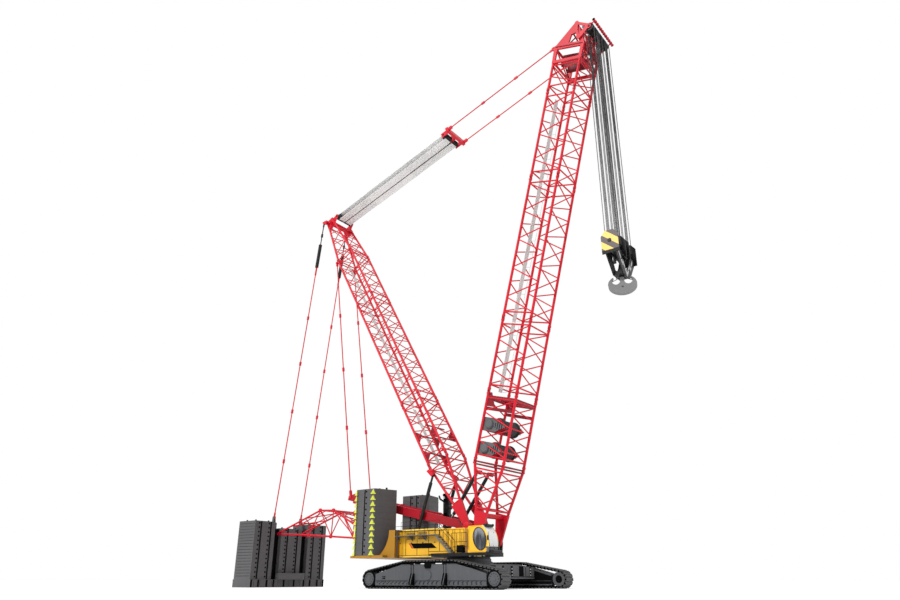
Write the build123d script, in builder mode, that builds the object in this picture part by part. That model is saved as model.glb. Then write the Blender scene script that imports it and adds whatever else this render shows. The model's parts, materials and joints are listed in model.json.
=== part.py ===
# Crawler crane with derrick mast and superlift ballast, as a 1:10 scale model.
# All sizes are model millimetres: +X is forward, +Y is left, +Z is up.
# The origin is on the ground under the slewing axis.
from build123d import *
import math
import os

os.makedirs("parts", exist_ok=True)

BASE = (Align.CENTER, Align.CENTER, Align.MIN)

# ---- crawlers ----
track_gauge = 1053        # between the centre lines of the two tracks
shoe_width = 139
wheel_base = 1300         # between end wheel axles
wrap_radius = 78          # outside of the shoes round an end wheel
hump_height = 226         # top of the upper run
hump_half = 250           # half the level stretch of the upper run
hump_radius = 60
shoe_pitch = 36
shoe_height = 8           # grouser that stands out of the band
band_thickness = 8
wheel_radius = 61
wheel_gap = 1             # between a wheel or roller and the band
axle_radius = 20
axle_clearance = 0.5
roller_radius = 21
roller_pitch = 88
carrier_radius = 9
frame_half = 62           # half the width of a crawler frame
skirt = 10                # thickness of the frame's lower side plates

# ---- carbody and slewing ring ----
carbody_half_width = 130
carbody_low = 92
carbody_high = 200
arm_place = 305           # centre of a cross arm along X
arm_length = 200
ring_radius = 205
ring_low = 246            # joint plane of the slewing ring
ring_gap = 1

# ---- upper structure ----
deck_low = 265
deck_high = 300
deck_rear = -590
deck_front = 236
deck_margin = 42          # from the boom's chord to the deck's edge
seat_margin = 25          # from a mast backstop to the deck's edge
spine_half = 120
spine_front = 40
spine_high = 465
top_plate = 10
house_low = 262
house_step = -160         # ahead of this the house floor rises over the platform
house_high = 485
house_outer = 362
house_front = 215         # of the right-hand house, behind the cab
house_front_left = 60
wall = 6
walk_outer = 430
platform_low = 256
platform_high = 282
platform_rear = -90
platform_front = 522
catwalk_rear = -505
catwalk_front = -48
catwalk_high = 432
walk_thickness = 6
stair_foot = 117          # where the stair meets the platform
stair_steps = 7

# ---- cab ----
cab_rear = 292
cab_front = 498
cab_inner = -290
cab_outer = -430
cab_low = 282
cab_high = 492
cab_wall = 6
door_gap = 1.5
cab_roof_front = 438      # where the roof starts to round off into the windscreen
cab_corner = 26           # radius of the rear upper corner
door_rear = 312
door_margin = 5           # from the door's opening to the cab's outline
door_corner = 24
window_ahead = 10.5       # of the window's middle ahead of the door's
window_side = 27.5        # from the window's widest place to the door's edges
window_end = 9            # from its ends to the door's edges
window_lean = 15          # degrees the window's top leans to the rear
windscreen_sill = 56      # above the cab's floor
pane_drop = 24            # from the roof down to the windscreen
side_sill = 80
side_drop = 30
glass = 3

# ---- counterweights on the upper structure ----
tray_rear = -985
tray_half = 492
tray_low = 256
tray_high = 276
slab_count = 11
slab_pitch = 53.6
slab_groove = 1
slab_core = 2             # how far the core between two slabs is set back
stack_rear = -942
stack_inner = 190
stack_outer = 489

# ---- boom ----
boom_pin = (212, 382)     # X and Z of the foot pins
boom_lean = 75.2          # degrees above level
boom_width = 346          # between chord centres, across
boom_depth = 308          # between chord centres, fore and aft
boom_offset = -30         # lattice axis behind the line through the pin
chord_radius = 13
lace_radius = 6
frame_radius = 7.5
joint_margin = 60         # from a section's end to its first frame
foot_plate_end = 250      # the foot's side plates end here
foot_end = 670
winch_end = 1312
winch_places = (790, 1010)
winch_offset = -30
winch_radius = 75
winch_half = 125
joint_1 = 2020
joint_2 = 3480
joint_3 = 4450
head_frame = 4780
foot_pin_radius = 17
pin_clearance = 0.08
foot_eye_radius = 34
foot_eye_width = 34
lug_thickness = 9
lug_gap = 5

# ---- derrick mast and back frame ----
mast_pin = (100, 515)
mast_lean = 60.9          # degrees above level, leaning back
mast_width = 300
mast_depth = 226
mast_chord = 12
mast_lace = 5
mast_frame = 6.5
mast_foot_plate = 235     # the foot's side plates end here
mast_open = 440           # the foot has no cross lacing below this, where the backstops pass
mast_foot_end = 700
mast_joint = 1420
mast_joint_2 = 2860
mast_head_start = 3620
mast_pin_radius = 16
mast_eye_radius = 30
mast_eye_width = 28
back_angle = 12.6
back_length = 1490
back_width = 30
back_depth = 74

# ---- superlift ----
guide_hinge = (-632, 400)
guide_half = 160
guide_end = (-2425, 534)
ballast_rear = -2635
ballast_front = -2350
ballast_half = 511
ballast_base = 77
ballast_high = 654
ballast_slabs = 20
ballast_gap = 47          # half the gap between two stacks that holds a hanger post
hanger_post = 11          # half a hanger post across
superlift_out = 43        # from the mast's chord out to the superlift pendant
hanger = (-2452, 700)
slab_inset = 12           # from the tray's edge to the stacks

# ---- ropes, stays and head gear ----
rope_radius = 1.5
rope_pitch = 11
sheave_thickness = 7
head_sheave = (175, 5120)   # in the boom's own frame: forward of the pin line, along it
hoist_radius = 46
hoist_groups = ((8, 2), (64, 7), (175, 2))   # first lane and number of lanes, on each side of the middle
hoist_stages = 4
hoist_stage_length = 1150
block_height = 2850         # axis of the hook block's sheaves
mast_sheave = (123, 4252)   # in the mast's own frame
luff_radius = 40
luff_inner = 22
luff_lanes = 10
luff_stages = 6
luff_step = 164             # from one stage's start to the next one's
luff_stage_length = 784
luff_in_lane = 3            # the stages after these run between the sheaves
luff_block_reach = 1735     # from the mast's sheaves to the luffing block
stay_pin = (1258, 5250)     # where the boom pendants meet the boom head
stay_half = 152
pendant_radius = 6
hook_turn = 20              # degrees the hook is turned from fore and aft
hook_thickness = 52
hook_bore = 9

# ---- backstops ----
boom_stop_seat = (-180, 512)
boom_stop_lug = (175, 985)
boom_stop_half = 95
boom_stop_barrel = 448
mast_stop_seat = (-425, 507)
mast_stop_lug = (-262, 985)
mast_stop_out = 40        # from the mast's chord out to its backstop
mast_stop_barrel = 430
stop_radius = 16
stop_rod = 10
stop_eye = 17
ram_clearance = 1


def leaning(pin, degrees, back=False):
    """The frame of a boom or mast: Z runs up it and X points forward of it."""
    rise, run = math.sin(math.radians(degrees)), math.cos(math.radians(degrees))
    if back:
        return Plane((pin[0], 0, pin[1]), x_dir=(rise, 0, run), z_dir=(-run, 0, rise))
    return Plane((pin[0], 0, pin[1]), x_dir=(rise, 0, -run), z_dir=(run, 0, rise))


def place(frame, x, y, z):
    return frame.from_local_coords(Vector(x, y, z))


def side_of(frame, y):
    """The upright plane at y in which a frame's forward and along directions are X and Y."""
    return Plane(place(frame, 0, y, 0), x_dir=frame.x_dir, z_dir=(0, -1, 0))


def upright(y):
    return Plane((0, y, 0), x_dir=(1, 0, 0), z_dir=(0, -1, 0))


def tubes(bars):
    """Round bars, each a start, an end and a radius, joined on in one go."""
    solids = []
    for start, end, radius in bars:
        run = Vector(*end) - Vector(*start)
        solids.append(Plane(start, z_dir=run) * Cylinder(radius, run.length, align=BASE, mode=Mode.PRIVATE))
    add(solids)


def cross_bar(x, z, low, high, radius):
    """A round bar across the crane from y = low to y = high."""
    with Locations(Plane((x, low, z), z_dir=(0, 1, 0))):
        Cylinder(radius, high - low, align=BASE)


def plate(plane, points, thickness):
    with BuildSketch(plane) as outline:
        with BuildLine():
            Polyline(*points, close=True)
        make_face()
    extrude(outline.sketch, amount=thickness / 2, both=True)


def block(low, high, mode=Mode.ADD):
    """A box from its lowest to its highest corner."""
    with Locations(tuple((a + b) / 2 for a, b in zip(low, high))):
        Box(*[b - a for a, b in zip(low, high)], mode=mode)


REAR_FACE, LEFT_FACE, FRONT_FACE, RIGHT_FACE = range(4)


def corner(frame, low, high, t, i):
    """One chord's centre at the share t of the way from low to high."""
    along, rear, front, half = [a + (b - a) * t for a, b in zip(low, high)]
    return place(frame, (rear, rear, front, front)[i], (-half, half, half, -half)[i], along)


def chords(frame, low, high, radius):
    """Four chords from low to high, each given as (along, rear, front, half width)."""
    return [(corner(frame, low, high, 0, i), corner(frame, low, high, 1, i), radius) for i in range(4)]


def lacing(frame, low, high, runs, margins, radii, faces=range(4)):
    """Zigzag bars of so many runs on the faces, with a cross bar near each end. The bars that meet
    on a chord land beside each other."""
    lace, bar = radii
    length = high[0] - low[0]
    first, last = margins[0] / length, 1 - margins[1] / length
    apart = 1.3 * lace / length
    bars = []
    for i in faces:
        for k in range(runs):
            start, end = [first + (last - first) * n / runs for n in (k, k + 1)]
            bars.append((corner(frame, low, high, start + apart, (i + k % 2) % 4),
                         corner(frame, low, high, end - apart, (i + (k + 1) % 2) % 4), lace))
        bars += [(corner(frame, low, high, t, i), corner(frame, low, high, t, (i + 1) % 4), bar)
                 for t in (first, last)]
    return bars


def truss(frame, low, high, runs, margins, radii):
    return chords(frame, low, high, radii[0]) + lacing(frame, low, high, runs, margins, radii[1:])


def export(name, builder):
    builder.part.label = name
    export_step(builder.part, f"parts/{name}.step")


# places that follow from the sizes above
back_half = mast_width / 2
superlift_half = mast_width / 2 + superlift_out
mast_stop_half = mast_width / 2 + mast_stop_out
deck_half = max(boom_width / 2 + deck_margin, mast_stop_half + seat_margin)

boom = leaning(boom_pin, boom_lean)
mast = leaning(mast_pin, mast_lean, back=True)

# =================================================================== undercarriage
track_middle = track_gauge / 2
track_wheels = [(-wheel_base / 2, wrap_radius, wrap_radius), (wheel_base / 2, wrap_radius, wrap_radius),
                (-hump_half, hump_height - hump_radius, hump_radius),
                (hump_half, hump_height - hump_radius, hump_radius)]
band_inner = shoe_height + band_thickness
roller_height = band_inner + wheel_gap + roller_radius
rollers_ahead = int((wheel_base / 2 - wheel_radius - roller_radius - 5) / roller_pitch)


def track_outline(inset):
    """The closed outline of the track, moved inwards by inset."""
    with BuildSketch(upright(0)) as outline:
        for x, z, radius in track_wheels:
            with Locations((x, z)):
                Circle(radius - inset)
        make_hull()
    return outline.sketch


def track_ring():
    """One side's shoes and band as a closed loop, seen from the side."""
    run = track_outline(shoe_height).face().outer_wire()
    count = round(run.length / shoe_pitch)
    with BuildSketch(upright(0)) as ring:
        add(track_outline(shoe_height).face())
        for k in range(count):
            spot, way = run.position_at(k / count), run.tangent_at(k / count)
            turn = math.degrees(math.atan2(way.Z, way.X))
            with Locations(Location((spot.X, spot.Z), turn)):
                Rectangle(shoe_pitch * 0.8, 2 * shoe_height)
        add(track_outline(band_inner).face(), mode=Mode.SUBTRACT)
    return ring.sketch


ring = track_ring()
for name, side in (("track_right", -1), ("track_left", 1)):
    with BuildPart() as track:
        with BuildSketch(upright(side * track_middle)):
            add(ring)
        extrude(amount=shoe_width / 2, both=True)
    export(name, track)

# the beam between the end wheels, with a web out to each axle and low plates over the rollers
beam_low = roller_height + roller_radius + 3
beam_high = hump_height - band_inner - 2 * carrier_radius - 2 * wheel_gap
wheel_x = wheel_base / 2
beam_end = wheel_x - wheel_radius - 12
web_half = 14
beam_points = [(-beam_end, beam_low), (beam_end, beam_low), (beam_end, 118), (beam_end - 147, 158),
               (hump_half + 40, beam_high), (-hump_half - 40, beam_high), (147 - beam_end, 158),
               (-beam_end, 118)]
rib_places = (-182, -158, 158, 182)
for name, side in (("crawler_frame_right", -1), ("crawler_frame_left", 1)):
    middle = side * track_middle
    outer = middle + side * frame_half
    with BuildPart() as frame:
        plate(upright(middle), beam_points, 2 * frame_half)
        for face in (-1, 1):
            y = middle + face * (frame_half - skirt / 2)
            block((-beam_end, y - skirt / 2, band_inner + 12), (beam_end, y + skirt / 2, beam_low + 1))
        for x in (-wheel_x, wheel_x):
            near, far = sorted((x, math.copysign(beam_end - 10, x)))
            block((near, middle - web_half, wrap_radius - 26), (far, middle + web_half, wrap_radius + 26))
            with Locations(Plane((x, middle, wrap_radius), z_dir=(0, 1, 0))):
                Cylinder(26, 2 * web_half)
                Cylinder(axle_radius + axle_clearance, 2 * web_half + 2, mode=Mode.SUBTRACT)
        for x in rib_places:
            block((x - 5, outer - 1 if side > 0 else outer - 7, band_inner + 12),
                  (x + 5, outer + 7 if side > 0 else outer + 1, beam_high - 6))
        with Locations(Plane((0, outer, 108), z_dir=(0, side, 0))):
            Cylinder(36, 6, align=BASE)
    export(name, frame)

with BuildPart() as wheels:
    for side in (-1, 1):
        middle = side * track_middle
        for x in (-wheel_x, wheel_x):
            with Locations(Plane((x, middle, wrap_radius), z_dir=(0, 1, 0))):
                Cylinder(axle_radius, 2 * frame_half)
            for face in (-1, 1):
                with Locations(Plane((x, middle + face * (web_half + 2), wrap_radius), z_dir=(0, face, 0))):
                    Cylinder(wheel_radius, frame_half - web_half - 2, align=BASE)
        for k in range(-rollers_ahead, rollers_ahead + 1):
            with Locations(Plane((k * roller_pitch, middle, roller_height), z_dir=(0, 1, 0))):
                Cylinder(roller_radius, 2 * (frame_half - skirt - 2))
        for x in (-160, 0, 160):
            with Locations(Plane((x, middle, hump_height - band_inner - wheel_gap - carrier_radius),
                                 z_dir=(0, 1, 0))):
                Cylinder(carrier_radius, 60)
export("track_wheels", wheels)

arm_end = track_middle - frame_half
arm_points = [(-arm_end, 100), (-230, 95), (230, 95), (arm_end, 100),
              (arm_end, 158), (230, 197), (-230, 197), (-arm_end, 158)]
with BuildPart() as carbody:
    block((-arm_place, -carbody_half_width, carbody_low), (arm_place, carbody_half_width, carbody_high))
    for x in (-arm_place, arm_place):
        plate(Plane((x, 0, 0), x_dir=(0, 1, 0), z_dir=(1, 0, 0)), arm_points, arm_length)
    with Locations((0, 0, carbody_low)):
        Cylinder(ring_radius, ring_low - ring_gap - carbody_low, align=BASE)
    with Locations((0, 0, carbody_high)):
        Cylinder(ring_radius + 14, 18, align=BASE)
export("carbody", carbody)

# =================================================================== upper structure
pin_x, pin_z = boom_pin
eye_middle = boom_width / 2
lug_places = [eye_middle - foot_eye_width / 2 - lug_gap - lug_thickness / 2,
              eye_middle + foot_eye_width / 2 + lug_gap + lug_thickness / 2]
mast_x, mast_z = mast_pin
mast_middle = mast_width / 2
mast_lugs = [mast_middle - mast_eye_width / 2 - lug_gap - lug_thickness / 2,
             mast_middle + mast_eye_width / 2 + lug_gap + lug_thickness / 2]


def lug(x, z, y, radius, foot_rear, foot_front, foot_z):
    """An upright plate with a round head about a pin."""
    with BuildSketch(upright(y)) as outline:
        with BuildLine():
            Polyline((foot_rear, foot_z), (foot_front, foot_z), (x + radius, z), (x - radius, z),
                     close=True)
        make_face()
        with Locations((x, z)):
            Circle(radius)
    extrude(outline.sketch, amount=lug_thickness / 2, both=True)


def seat(x, z, y, half, floor):
    """Two ears that stand either side of a ram's eye, open between them down to the floor."""
    for face in (-1, 1):
        with BuildSketch(upright(y + face * (half + lug_gap + 4))) as ear:
            with BuildLine():
                Polyline((x - 34, floor), (x + 34, floor), (x + 15, z), (x - 15, z), close=True)
            make_face()
            with Locations((x, z)):
                Circle(15)
        extrude(ear.sketch, amount=4, both=True)


with BuildPart() as turntable:
    block((deck_rear, -deck_half, deck_low), (deck_front, deck_half, deck_high))
    block((deck_rear, -spine_half, deck_high), (spine_front, spine_half, spine_high))
    block((deck_rear, -deck_half, spine_high - top_plate), (spine_front, deck_half, spine_high))
    with Locations((0, 0, ring_low)):
        Cylinder(ring_radius - 8, deck_low - ring_low, align=BASE)
    for side in (-1, 1):
        for y in lug_places:
            lug(pin_x, pin_z, side * y, foot_eye_radius - 4, pin_x - 62, deck_front - 2, deck_high - 1)
        for y in mast_lugs:
            lug(mast_x, mast_z, side * y, mast_eye_radius - 4, mast_x - 62, mast_x + 34, deck_high - 1)
        cross_bar(pin_x, pin_z, *sorted((side * (lug_places[0] - 6), side * (lug_places[1] + 8))),
                  foot_pin_radius)
        cross_bar(mast_x, mast_z, *sorted((side * (mast_lugs[0] - 6), side * (mast_lugs[1] + 8))),
                  mast_pin_radius)
        seat(*boom_stop_seat, side * boom_stop_half, stop_eye / 2 + 4, spine_high - 1)
        seat(*mast_stop_seat, side * mast_stop_half, stop_eye / 2 - 2, spine_high - 1)
        cross_bar(*mast_stop_seat, *sorted((side * (mast_stop_half - 18), side * (mast_stop_half + 18))), 8)
        for y in (guide_half - 22, guide_half + 22):
            lug(guide_hinge[0], guide_hinge[1], side * y, 20, deck_rear - 1, deck_rear + 20, deck_high)
            block((guide_hinge[0], side * y - 4.5, guide_hinge[1] - 20),
                  (deck_rear + 1, side * y + 4.5, guide_hinge[1] + 20))
        cross_bar(guide_hinge[0], guide_hinge[1],
                  *sorted((side * (guide_half - 27), side * (guide_half + 27))), 10)
export("turntable", turntable)

# closed shells over the machinery, one on each side of the spine
house_middle = (deck_half + house_outer) / 2
house_half = (house_outer - deck_half) / 2
with BuildPart() as houses:
    for side, front in ((-1, house_front), (1, house_front_left)):
        for inset, mode in ((0, Mode.ADD), (wall, Mode.SUBTRACT)):
            with BuildSketch(upright(side * house_middle)):
                with BuildLine():
                    Polyline((deck_rear, house_low), (house_step - 30, house_low),
                             (house_step, platform_high), (front, platform_high),
                             (front, house_high), (deck_rear, house_high), close=True)
                make_face()
                if inset:
                    offset(amount=-inset)
            extrude(amount=house_half - inset, both=True, mode=mode)
export("machinery_houses", houses)

with BuildPart() as engine:
    block((-460, house_middle - 50, house_low + wall), (-210, house_middle + 50, house_low + 140))
export("engine", engine)

with BuildPart() as platform:
    block((platform_rear, -walk_outer, platform_low), (platform_front, cab_inner, platform_high))
    for x in (-60, 110, 290):
        block((x - 20, cab_inner - 1, deck_low), (x + 20, -deck_half, platform_high - 2))
    cross_bar(platform_front + 10, platform_high + 4, -walk_outer + 4, cab_inner - 4, 14)
export("platform", platform)

stair_drop = (catwalk_high + walk_thickness - platform_high) / stair_steps
stair_going = (stair_foot - catwalk_front) / stair_steps
with BuildPart() as walkways:
    for side in (-1, 1):
        inner, outer = sorted((side * house_outer, side * walk_outer))
        block((catwalk_rear, inner, catwalk_high), (catwalk_front, outer, catwalk_high + walk_thickness))
        for x in (catwalk_rear + 3, -350, -200, catwalk_front - 3):
            plate(Plane((x, 0, 0), x_dir=(0, 1, 0), z_dir=(1, 0, 0)),
                  [(side * house_outer, catwalk_high), (side * walk_outer, catwalk_high),
                   (side * house_outer, catwalk_high - 42)], 6)
    for y in (-walk_outer + 3, -house_outer - 5):
        plate(upright(y), [(catwalk_front - 1, catwalk_high + walk_thickness),
                           (catwalk_front - 1, catwalk_high - 12),
                           (stair_foot - 16, platform_high), (stair_foot + 6, platform_high)], 6)
    for k in range(1, stair_steps):
        x, z = catwalk_front + k * stair_going, catwalk_high + walk_thickness - k * stair_drop
        block((x - 16, -walk_outer + 5, z - 8), (x + 6, -house_outer - 7, z - 4))
export("walkways", walkways)

# ------------------------------------------------------------------- cab
cab_middle = (cab_inner + cab_outer) / 2
cab_half = (cab_inner - cab_outer) / 2
cab_windows = [  # lowest corner, highest corner
    ((cab_roof_front + 8, cab_outer + 14, cab_low + windscreen_sill),
     (cab_front + 4, cab_inner - 14, cab_high - pane_drop)),
    ((cab_roof_front - 82, cab_outer + 22, cab_high - 20),
     (cab_roof_front - 14, cab_inner - 22, cab_high + 4)),
    ((cab_rear + 38, cab_inner - 14, cab_low + side_sill),
     (cab_roof_front - 2, cab_inner + 4, cab_high - side_drop)),
    ((cab_rear - 4, cab_outer + 26, cab_low + 98), (cab_rear + 14, cab_inner - 26, cab_high - side_drop)),
]


def cab_outline(y, inset, rear=None):
    """The cab's side outline as a sketch at y, moved inwards by inset. With rear given, it is the
    door's, which ends there."""
    nose = (cab_front, cab_low + 40)
    with BuildSketch(upright(y)) as outline:
        with BuildLine():
            Polyline((cab_roof_front, cab_high), (cab_rear, cab_high), (cab_rear, cab_low),
                     (cab_front - 28, cab_low), nose)
            ThreePointArc(nose, (cab_front - 11, cab_high - 67), (cab_roof_front, cab_high))
        make_face()
        if not rear:
            fillet(outline.vertices().sort_by_distance((cab_rear, cab_high))[0], cab_corner)
        if inset:
            offset(amount=-inset)
        if rear:
            with Locations((rear, cab_low)):
                Rectangle(cab_front - cab_rear, 3 * (cab_high - cab_low), align=(Align.MIN, Align.CENTER),
                          mode=Mode.INTERSECT)
            fillet(outline.vertices().group_by(Axis.X)[0], door_corner)
    return outline.sketch


def cab_solid(inset, mode=Mode.ADD):
    """The cab's closed outer shape, moved inwards by inset."""
    extrude(cab_outline(cab_middle, inset), amount=cab_half - inset, both=True, mode=mode)


def door_sheet(inset, low, high, mode=Mode.ADD):
    """The door's outline, moved inwards by inset, as a sheet from y = low to y = high."""
    extrude(cab_outline((low + high) / 2, door_margin + inset, door_rear + inset), amount=(high - low) / 2,
            both=True, mode=mode)


def door_window(low, high, mode=Mode.ADD):
    """The leaning oval of the door's window."""
    half_long = (cab_front - door_margin - door_rear) / 2
    half_high = (cab_high - cab_low) / 2 - door_margin
    with BuildSketch(upright((low + high) / 2)) as outline:
        with Locations((door_rear + half_long + window_ahead, (cab_low + cab_high) / 2)):
            Ellipse(half_long - window_side, half_high - window_end, rotation=window_lean)
    extrude(outline.sketch, amount=(high - low) / 2, both=True, mode=mode)


with BuildPart() as cab:
    cab_solid(0)
    cab_solid(cab_wall, Mode.SUBTRACT)
    for low, high in cab_windows:
        block(low, high, Mode.SUBTRACT)
    door_sheet(0, cab_outer - 1, cab_outer + cab_wall + 1, Mode.SUBTRACT)
    floor = cab_low + cab_wall
    block((cab_roof_front - 38, cab_middle - 26, floor), (cab_roof_front + 2, cab_middle + 26, floor + 44))
    block((cab_roof_front - 98, cab_middle - 30, floor), (cab_roof_front - 46, cab_middle + 30, floor + 52))
    block((cab_roof_front - 98, cab_middle - 30, floor + 51),
          (cab_roof_front - 84, cab_middle + 30, cab_high - 74))
export("cab", cab)

with BuildPart() as cab_glass:
    cab_solid((cab_wall - glass) / 2)
    cab_solid((cab_wall + glass) / 2, Mode.SUBTRACT)
    with BuildPart(mode=Mode.PRIVATE) as openings:
        for low, high in cab_windows:
            block(low, high)
    add(openings.part, mode=Mode.INTERSECT)
export("cab_glass", cab_glass)

with BuildPart() as cab_door:
    door_sheet(door_gap, cab_outer, cab_outer + cab_wall)
    door_window(cab_outer - 1, cab_outer + cab_wall + 1, Mode.SUBTRACT)
export("cab_door", cab_door)

with BuildPart() as door_glass:
    door_window(cab_outer + (cab_wall - glass) / 2, cab_outer + (cab_wall + glass) / 2)
export("door_glass", door_glass)

# ------------------------------------------------------------------- counterweights
with BuildPart() as tray:
    block((tray_rear, -tray_half, tray_low), (deck_rear, tray_half, tray_high))
    for side in (-1, 1):
        inner, outer = sorted((side * (house_outer + 1), side * walk_outer))
        block((deck_rear - 1, inner, tray_low), (catwalk_rear, outer, tray_high))
        with BuildSketch(upright(side * (walk_outer - 6))):
            with BuildLine():
                Polyline((-575, 490), (catwalk_rear, 490), (catwalk_rear, tray_high - 1),
                         (-690, tray_high - 1))
                ThreePointArc((-690, tray_high - 1), (-604, 372), (-575, 490))
            make_face()
        extrude(amount=6, both=True)
        block((catwalk_rear - 12, inner, tray_high - 1), (catwalk_rear, outer, 490))
export("counterweight_tray", tray)

stack_points = [(stack_rear, stack_inner), (stack_rear, stack_outer), (-712, stack_outer), (-680, 370),
                (-650, 250), (-720, stack_inner)]


def stack(points, low, pitch, count, groove):
    """A pile of slabs of one outline, with a groove between each two, on a slimmer core."""
    with BuildSketch(*[Plane.XY.offset(low + k * pitch) for k in range(count)]) as slabs:
        with BuildLine():
            Polyline(*points, close=True)
        make_face()
    extrude(slabs.sketch, amount=pitch - groove)
    with BuildSketch(Plane.XY.offset(low)) as core:
        with BuildLine():
            Polyline(*points, close=True)
        make_face()
        offset(amount=-slab_core, kind=Kind.INTERSECTION)
    extrude(core.sketch, amount=count * pitch - groove)


with BuildPart() as counterweights:
    for side in (-1, 1):
        stack([(x, side * y) for x, y in stack_points], tray_high, slab_pitch, slab_count, slab_groove)
export("counterweights", counterweights)

with BuildPart() as hydraulic_unit:
    block((-245, -66, spine_high), (-175, -4, spine_high + 20))
    block((-240, -60, spine_high + 20), (-185, -10, 760))
    with Locations((-212, -35, 760)):
        Cylinder(24, 40, align=BASE)
    for z in (540, 620, 700):
        cross_bar(-190, z, -64, -4, 20)
export("hydraulic_unit", hydraulic_unit)

# =================================================================== boom
boom_rear = boom_offset - boom_depth / 2
boom_front = boom_offset + boom_depth / 2
boom_half = boom_width / 2
boom_sides = (boom_rear, boom_front, boom_half)
boom_radii = (chord_radius, lace_radius, frame_radius)


def taper(along, full, rear, front, half):
    """Where the chords of a foot are at one place, on their way from the pins to the full section."""
    return along, rear * along / full, front * along / full, half


def foot_side(frame, y, plate_end, corners, eye, thickness, bore):
    """One side plate of a foot, with its eye."""
    eye_radius, eye_width = eye
    rear, front = corners
    with BuildSketch(side_of(frame, y)) as outline:
        with BuildLine():
            Polyline((-eye_radius + 2, 4), (eye_radius - 2, 4), (front, plate_end), (rear, plate_end),
                     close=True)
        make_face()
    extrude(outline.sketch, amount=thickness / 2, both=True)
    with Locations(Plane(place(frame, 0, y, 0), z_dir=(0, 1, 0))):
        Cylinder(eye_radius, eye_width)
        Cylinder(bore, 2 * eye_width, mode=Mode.SUBTRACT)


def drum(frame, x, z, half, radius, shaft):
    """A winch drum between two flanges on its shaft."""
    with Locations(Plane(place(frame, x, 0, z), z_dir=(0, 1, 0))):
        Cylinder(radius * 0.8, 2 * half)
        Cylinder(shaft, 2 * half + 60)
    for side in (-1, 1):
        with Locations(Plane(place(frame, x, side * (half - 4), z), z_dir=(0, 1, 0))):
            Cylinder(radius, 8)


def bar(frame, x, z, half, radius):
    """A round bar across a boom or mast."""
    with Locations(Plane(place(frame, x, 0, z), z_dir=(0, 1, 0))):
        Cylinder(radius, 2 * half)


with BuildPart() as boom_foot:
    low = taper(foot_plate_end - 20, foot_end, boom_rear, boom_front, boom_half)
    straight = (foot_end - 12, *boom_sides)
    tubes(truss(boom, low, straight, 3, (44, joint_margin - 10), boom_radii)
          + chords(boom, (foot_end - 18, *straight[1:]), (foot_end, *straight[1:]), chord_radius))
    corners = [taper(foot_plate_end, foot_end, boom_rear, boom_front, boom_half)[i] for i in (1, 2)]
    corners = (corners[0] - chord_radius, corners[1] + chord_radius)
    for side in (-1, 1):
        foot_side(boom, side * boom_half, foot_plate_end, corners, (foot_eye_radius, foot_eye_width),
                  2 * chord_radius - 2, foot_pin_radius + pin_clearance)
    bar(boom, boom_offset * 0.35, foot_plate_end - 30, boom_half, 22)
    lug_at = boom.to_local_coords(Vector(boom_stop_lug[0], 0, boom_stop_lug[1]))
    chord_at = boom_rear * lug_at.Z / foot_end
    bar(boom, chord_at, lug_at.Z, boom_half, 9)
    for side in (-1, 1):
        for face in (-1, 1):
            y = side * boom_stop_half + face * (stop_eye / 2 + 3 + 4)
            plate(side_of(boom, y), [(chord_at + 6, lug_at.Z - 20), (chord_at + 6, lug_at.Z + 20),
                                     (lug_at.X - 10, lug_at.Z + 12), (lug_at.X - 10, lug_at.Z - 12)], 8)
        inner, outer = sorted((side * (boom_stop_half - 16), side * (boom_stop_half + 16)))
        cross_bar(boom_stop_lug[0], boom_stop_lug[1], inner, outer, 8)
export("boom_foot", boom_foot)

plate_place = winch_half + 17
with BuildPart() as winch_section:
    tubes(truss(boom, (foot_end, *boom_sides), (winch_end, *boom_sides), 4, (joint_margin, joint_margin),
                boom_radii))
    for s in winch_places:
        for side in (-1, 1):
            plate(side_of(boom, side * plate_place),
                  [(boom_rear, s - 62), (boom_rear, s + 62), (winch_offset + 10, s + 62),
                   (winch_offset + 104, s), (winch_offset + 10, s - 62)], 12)
            with Locations(Plane(place(boom, winch_offset, side * plate_place, s), z_dir=(0, 1, 0))):
                Cylinder(14 + pin_clearance, 40, mode=Mode.SUBTRACT)
        for offset_along in (-52, 52):
            bar(boom, boom_rear, s + offset_along, boom_half, 9)
        bar(boom, winch_offset + 90, s, plate_place, 7)
export("boom_winch_section", winch_section)

for number, s in enumerate(winch_places, 1):
    with BuildPart() as winch:
        drum(boom, winch_offset, s, winch_half, winch_radius, 14)
    export(f"hoist_winch_{number}", winch)

boom_sections = ((1, winch_end, joint_1, 4), (2, joint_1, joint_2, 9), (3, joint_2, joint_3, 6))
for number, low, high, runs in boom_sections:
    with BuildPart() as section:
        tubes(truss(boom, (low, *boom_sides), (high, *boom_sides), runs, (joint_margin, joint_margin),
                    boom_radii))
    export(f"boom_section_{number}", section)

stay_local = boom.to_local_coords(Vector(stay_pin[0], 0, stay_pin[1]))
head_outline = [(boom_rear - 13, head_frame - 6), (boom_rear - 20, 4962), (-14, 5206), (34, 5204),
                (boom_front + 20, 4958), (boom_front + 13, head_frame - 6)]
head_openings = [[(-40, 4986), (-24, 5082), (32, 5096), (84, 4978)],
                 [(boom_rear + 20, head_frame + 26), (boom_front - 16, head_frame + 26),
                  (boom_front - 16, 4925), (boom_rear + 20, 4938)]]
head_eye = (10, 5216)
head_bars = [(boom_rear, head_frame + 8, 12), (boom_front, head_frame + 8, 12), (boom_rear - 4, 4950, 14),
             (108, 4950, 12), (60, 5050, 10), (16, 5196, 12)]
hanger_points = [(0, 5196), (30, 5206), (186, 5142), (192, 5104), (165, 5096), (84, 4990), (60, 5000),
                 (24, 5120)]
hanger_opening = [(42, 5172), (138, 5130), (76, 5050), (50, 5110)]
hoist_places = [first + k * rope_pitch for first, count in hoist_groups for k in range(count)]
hoist_outer = hoist_places[-1]
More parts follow.
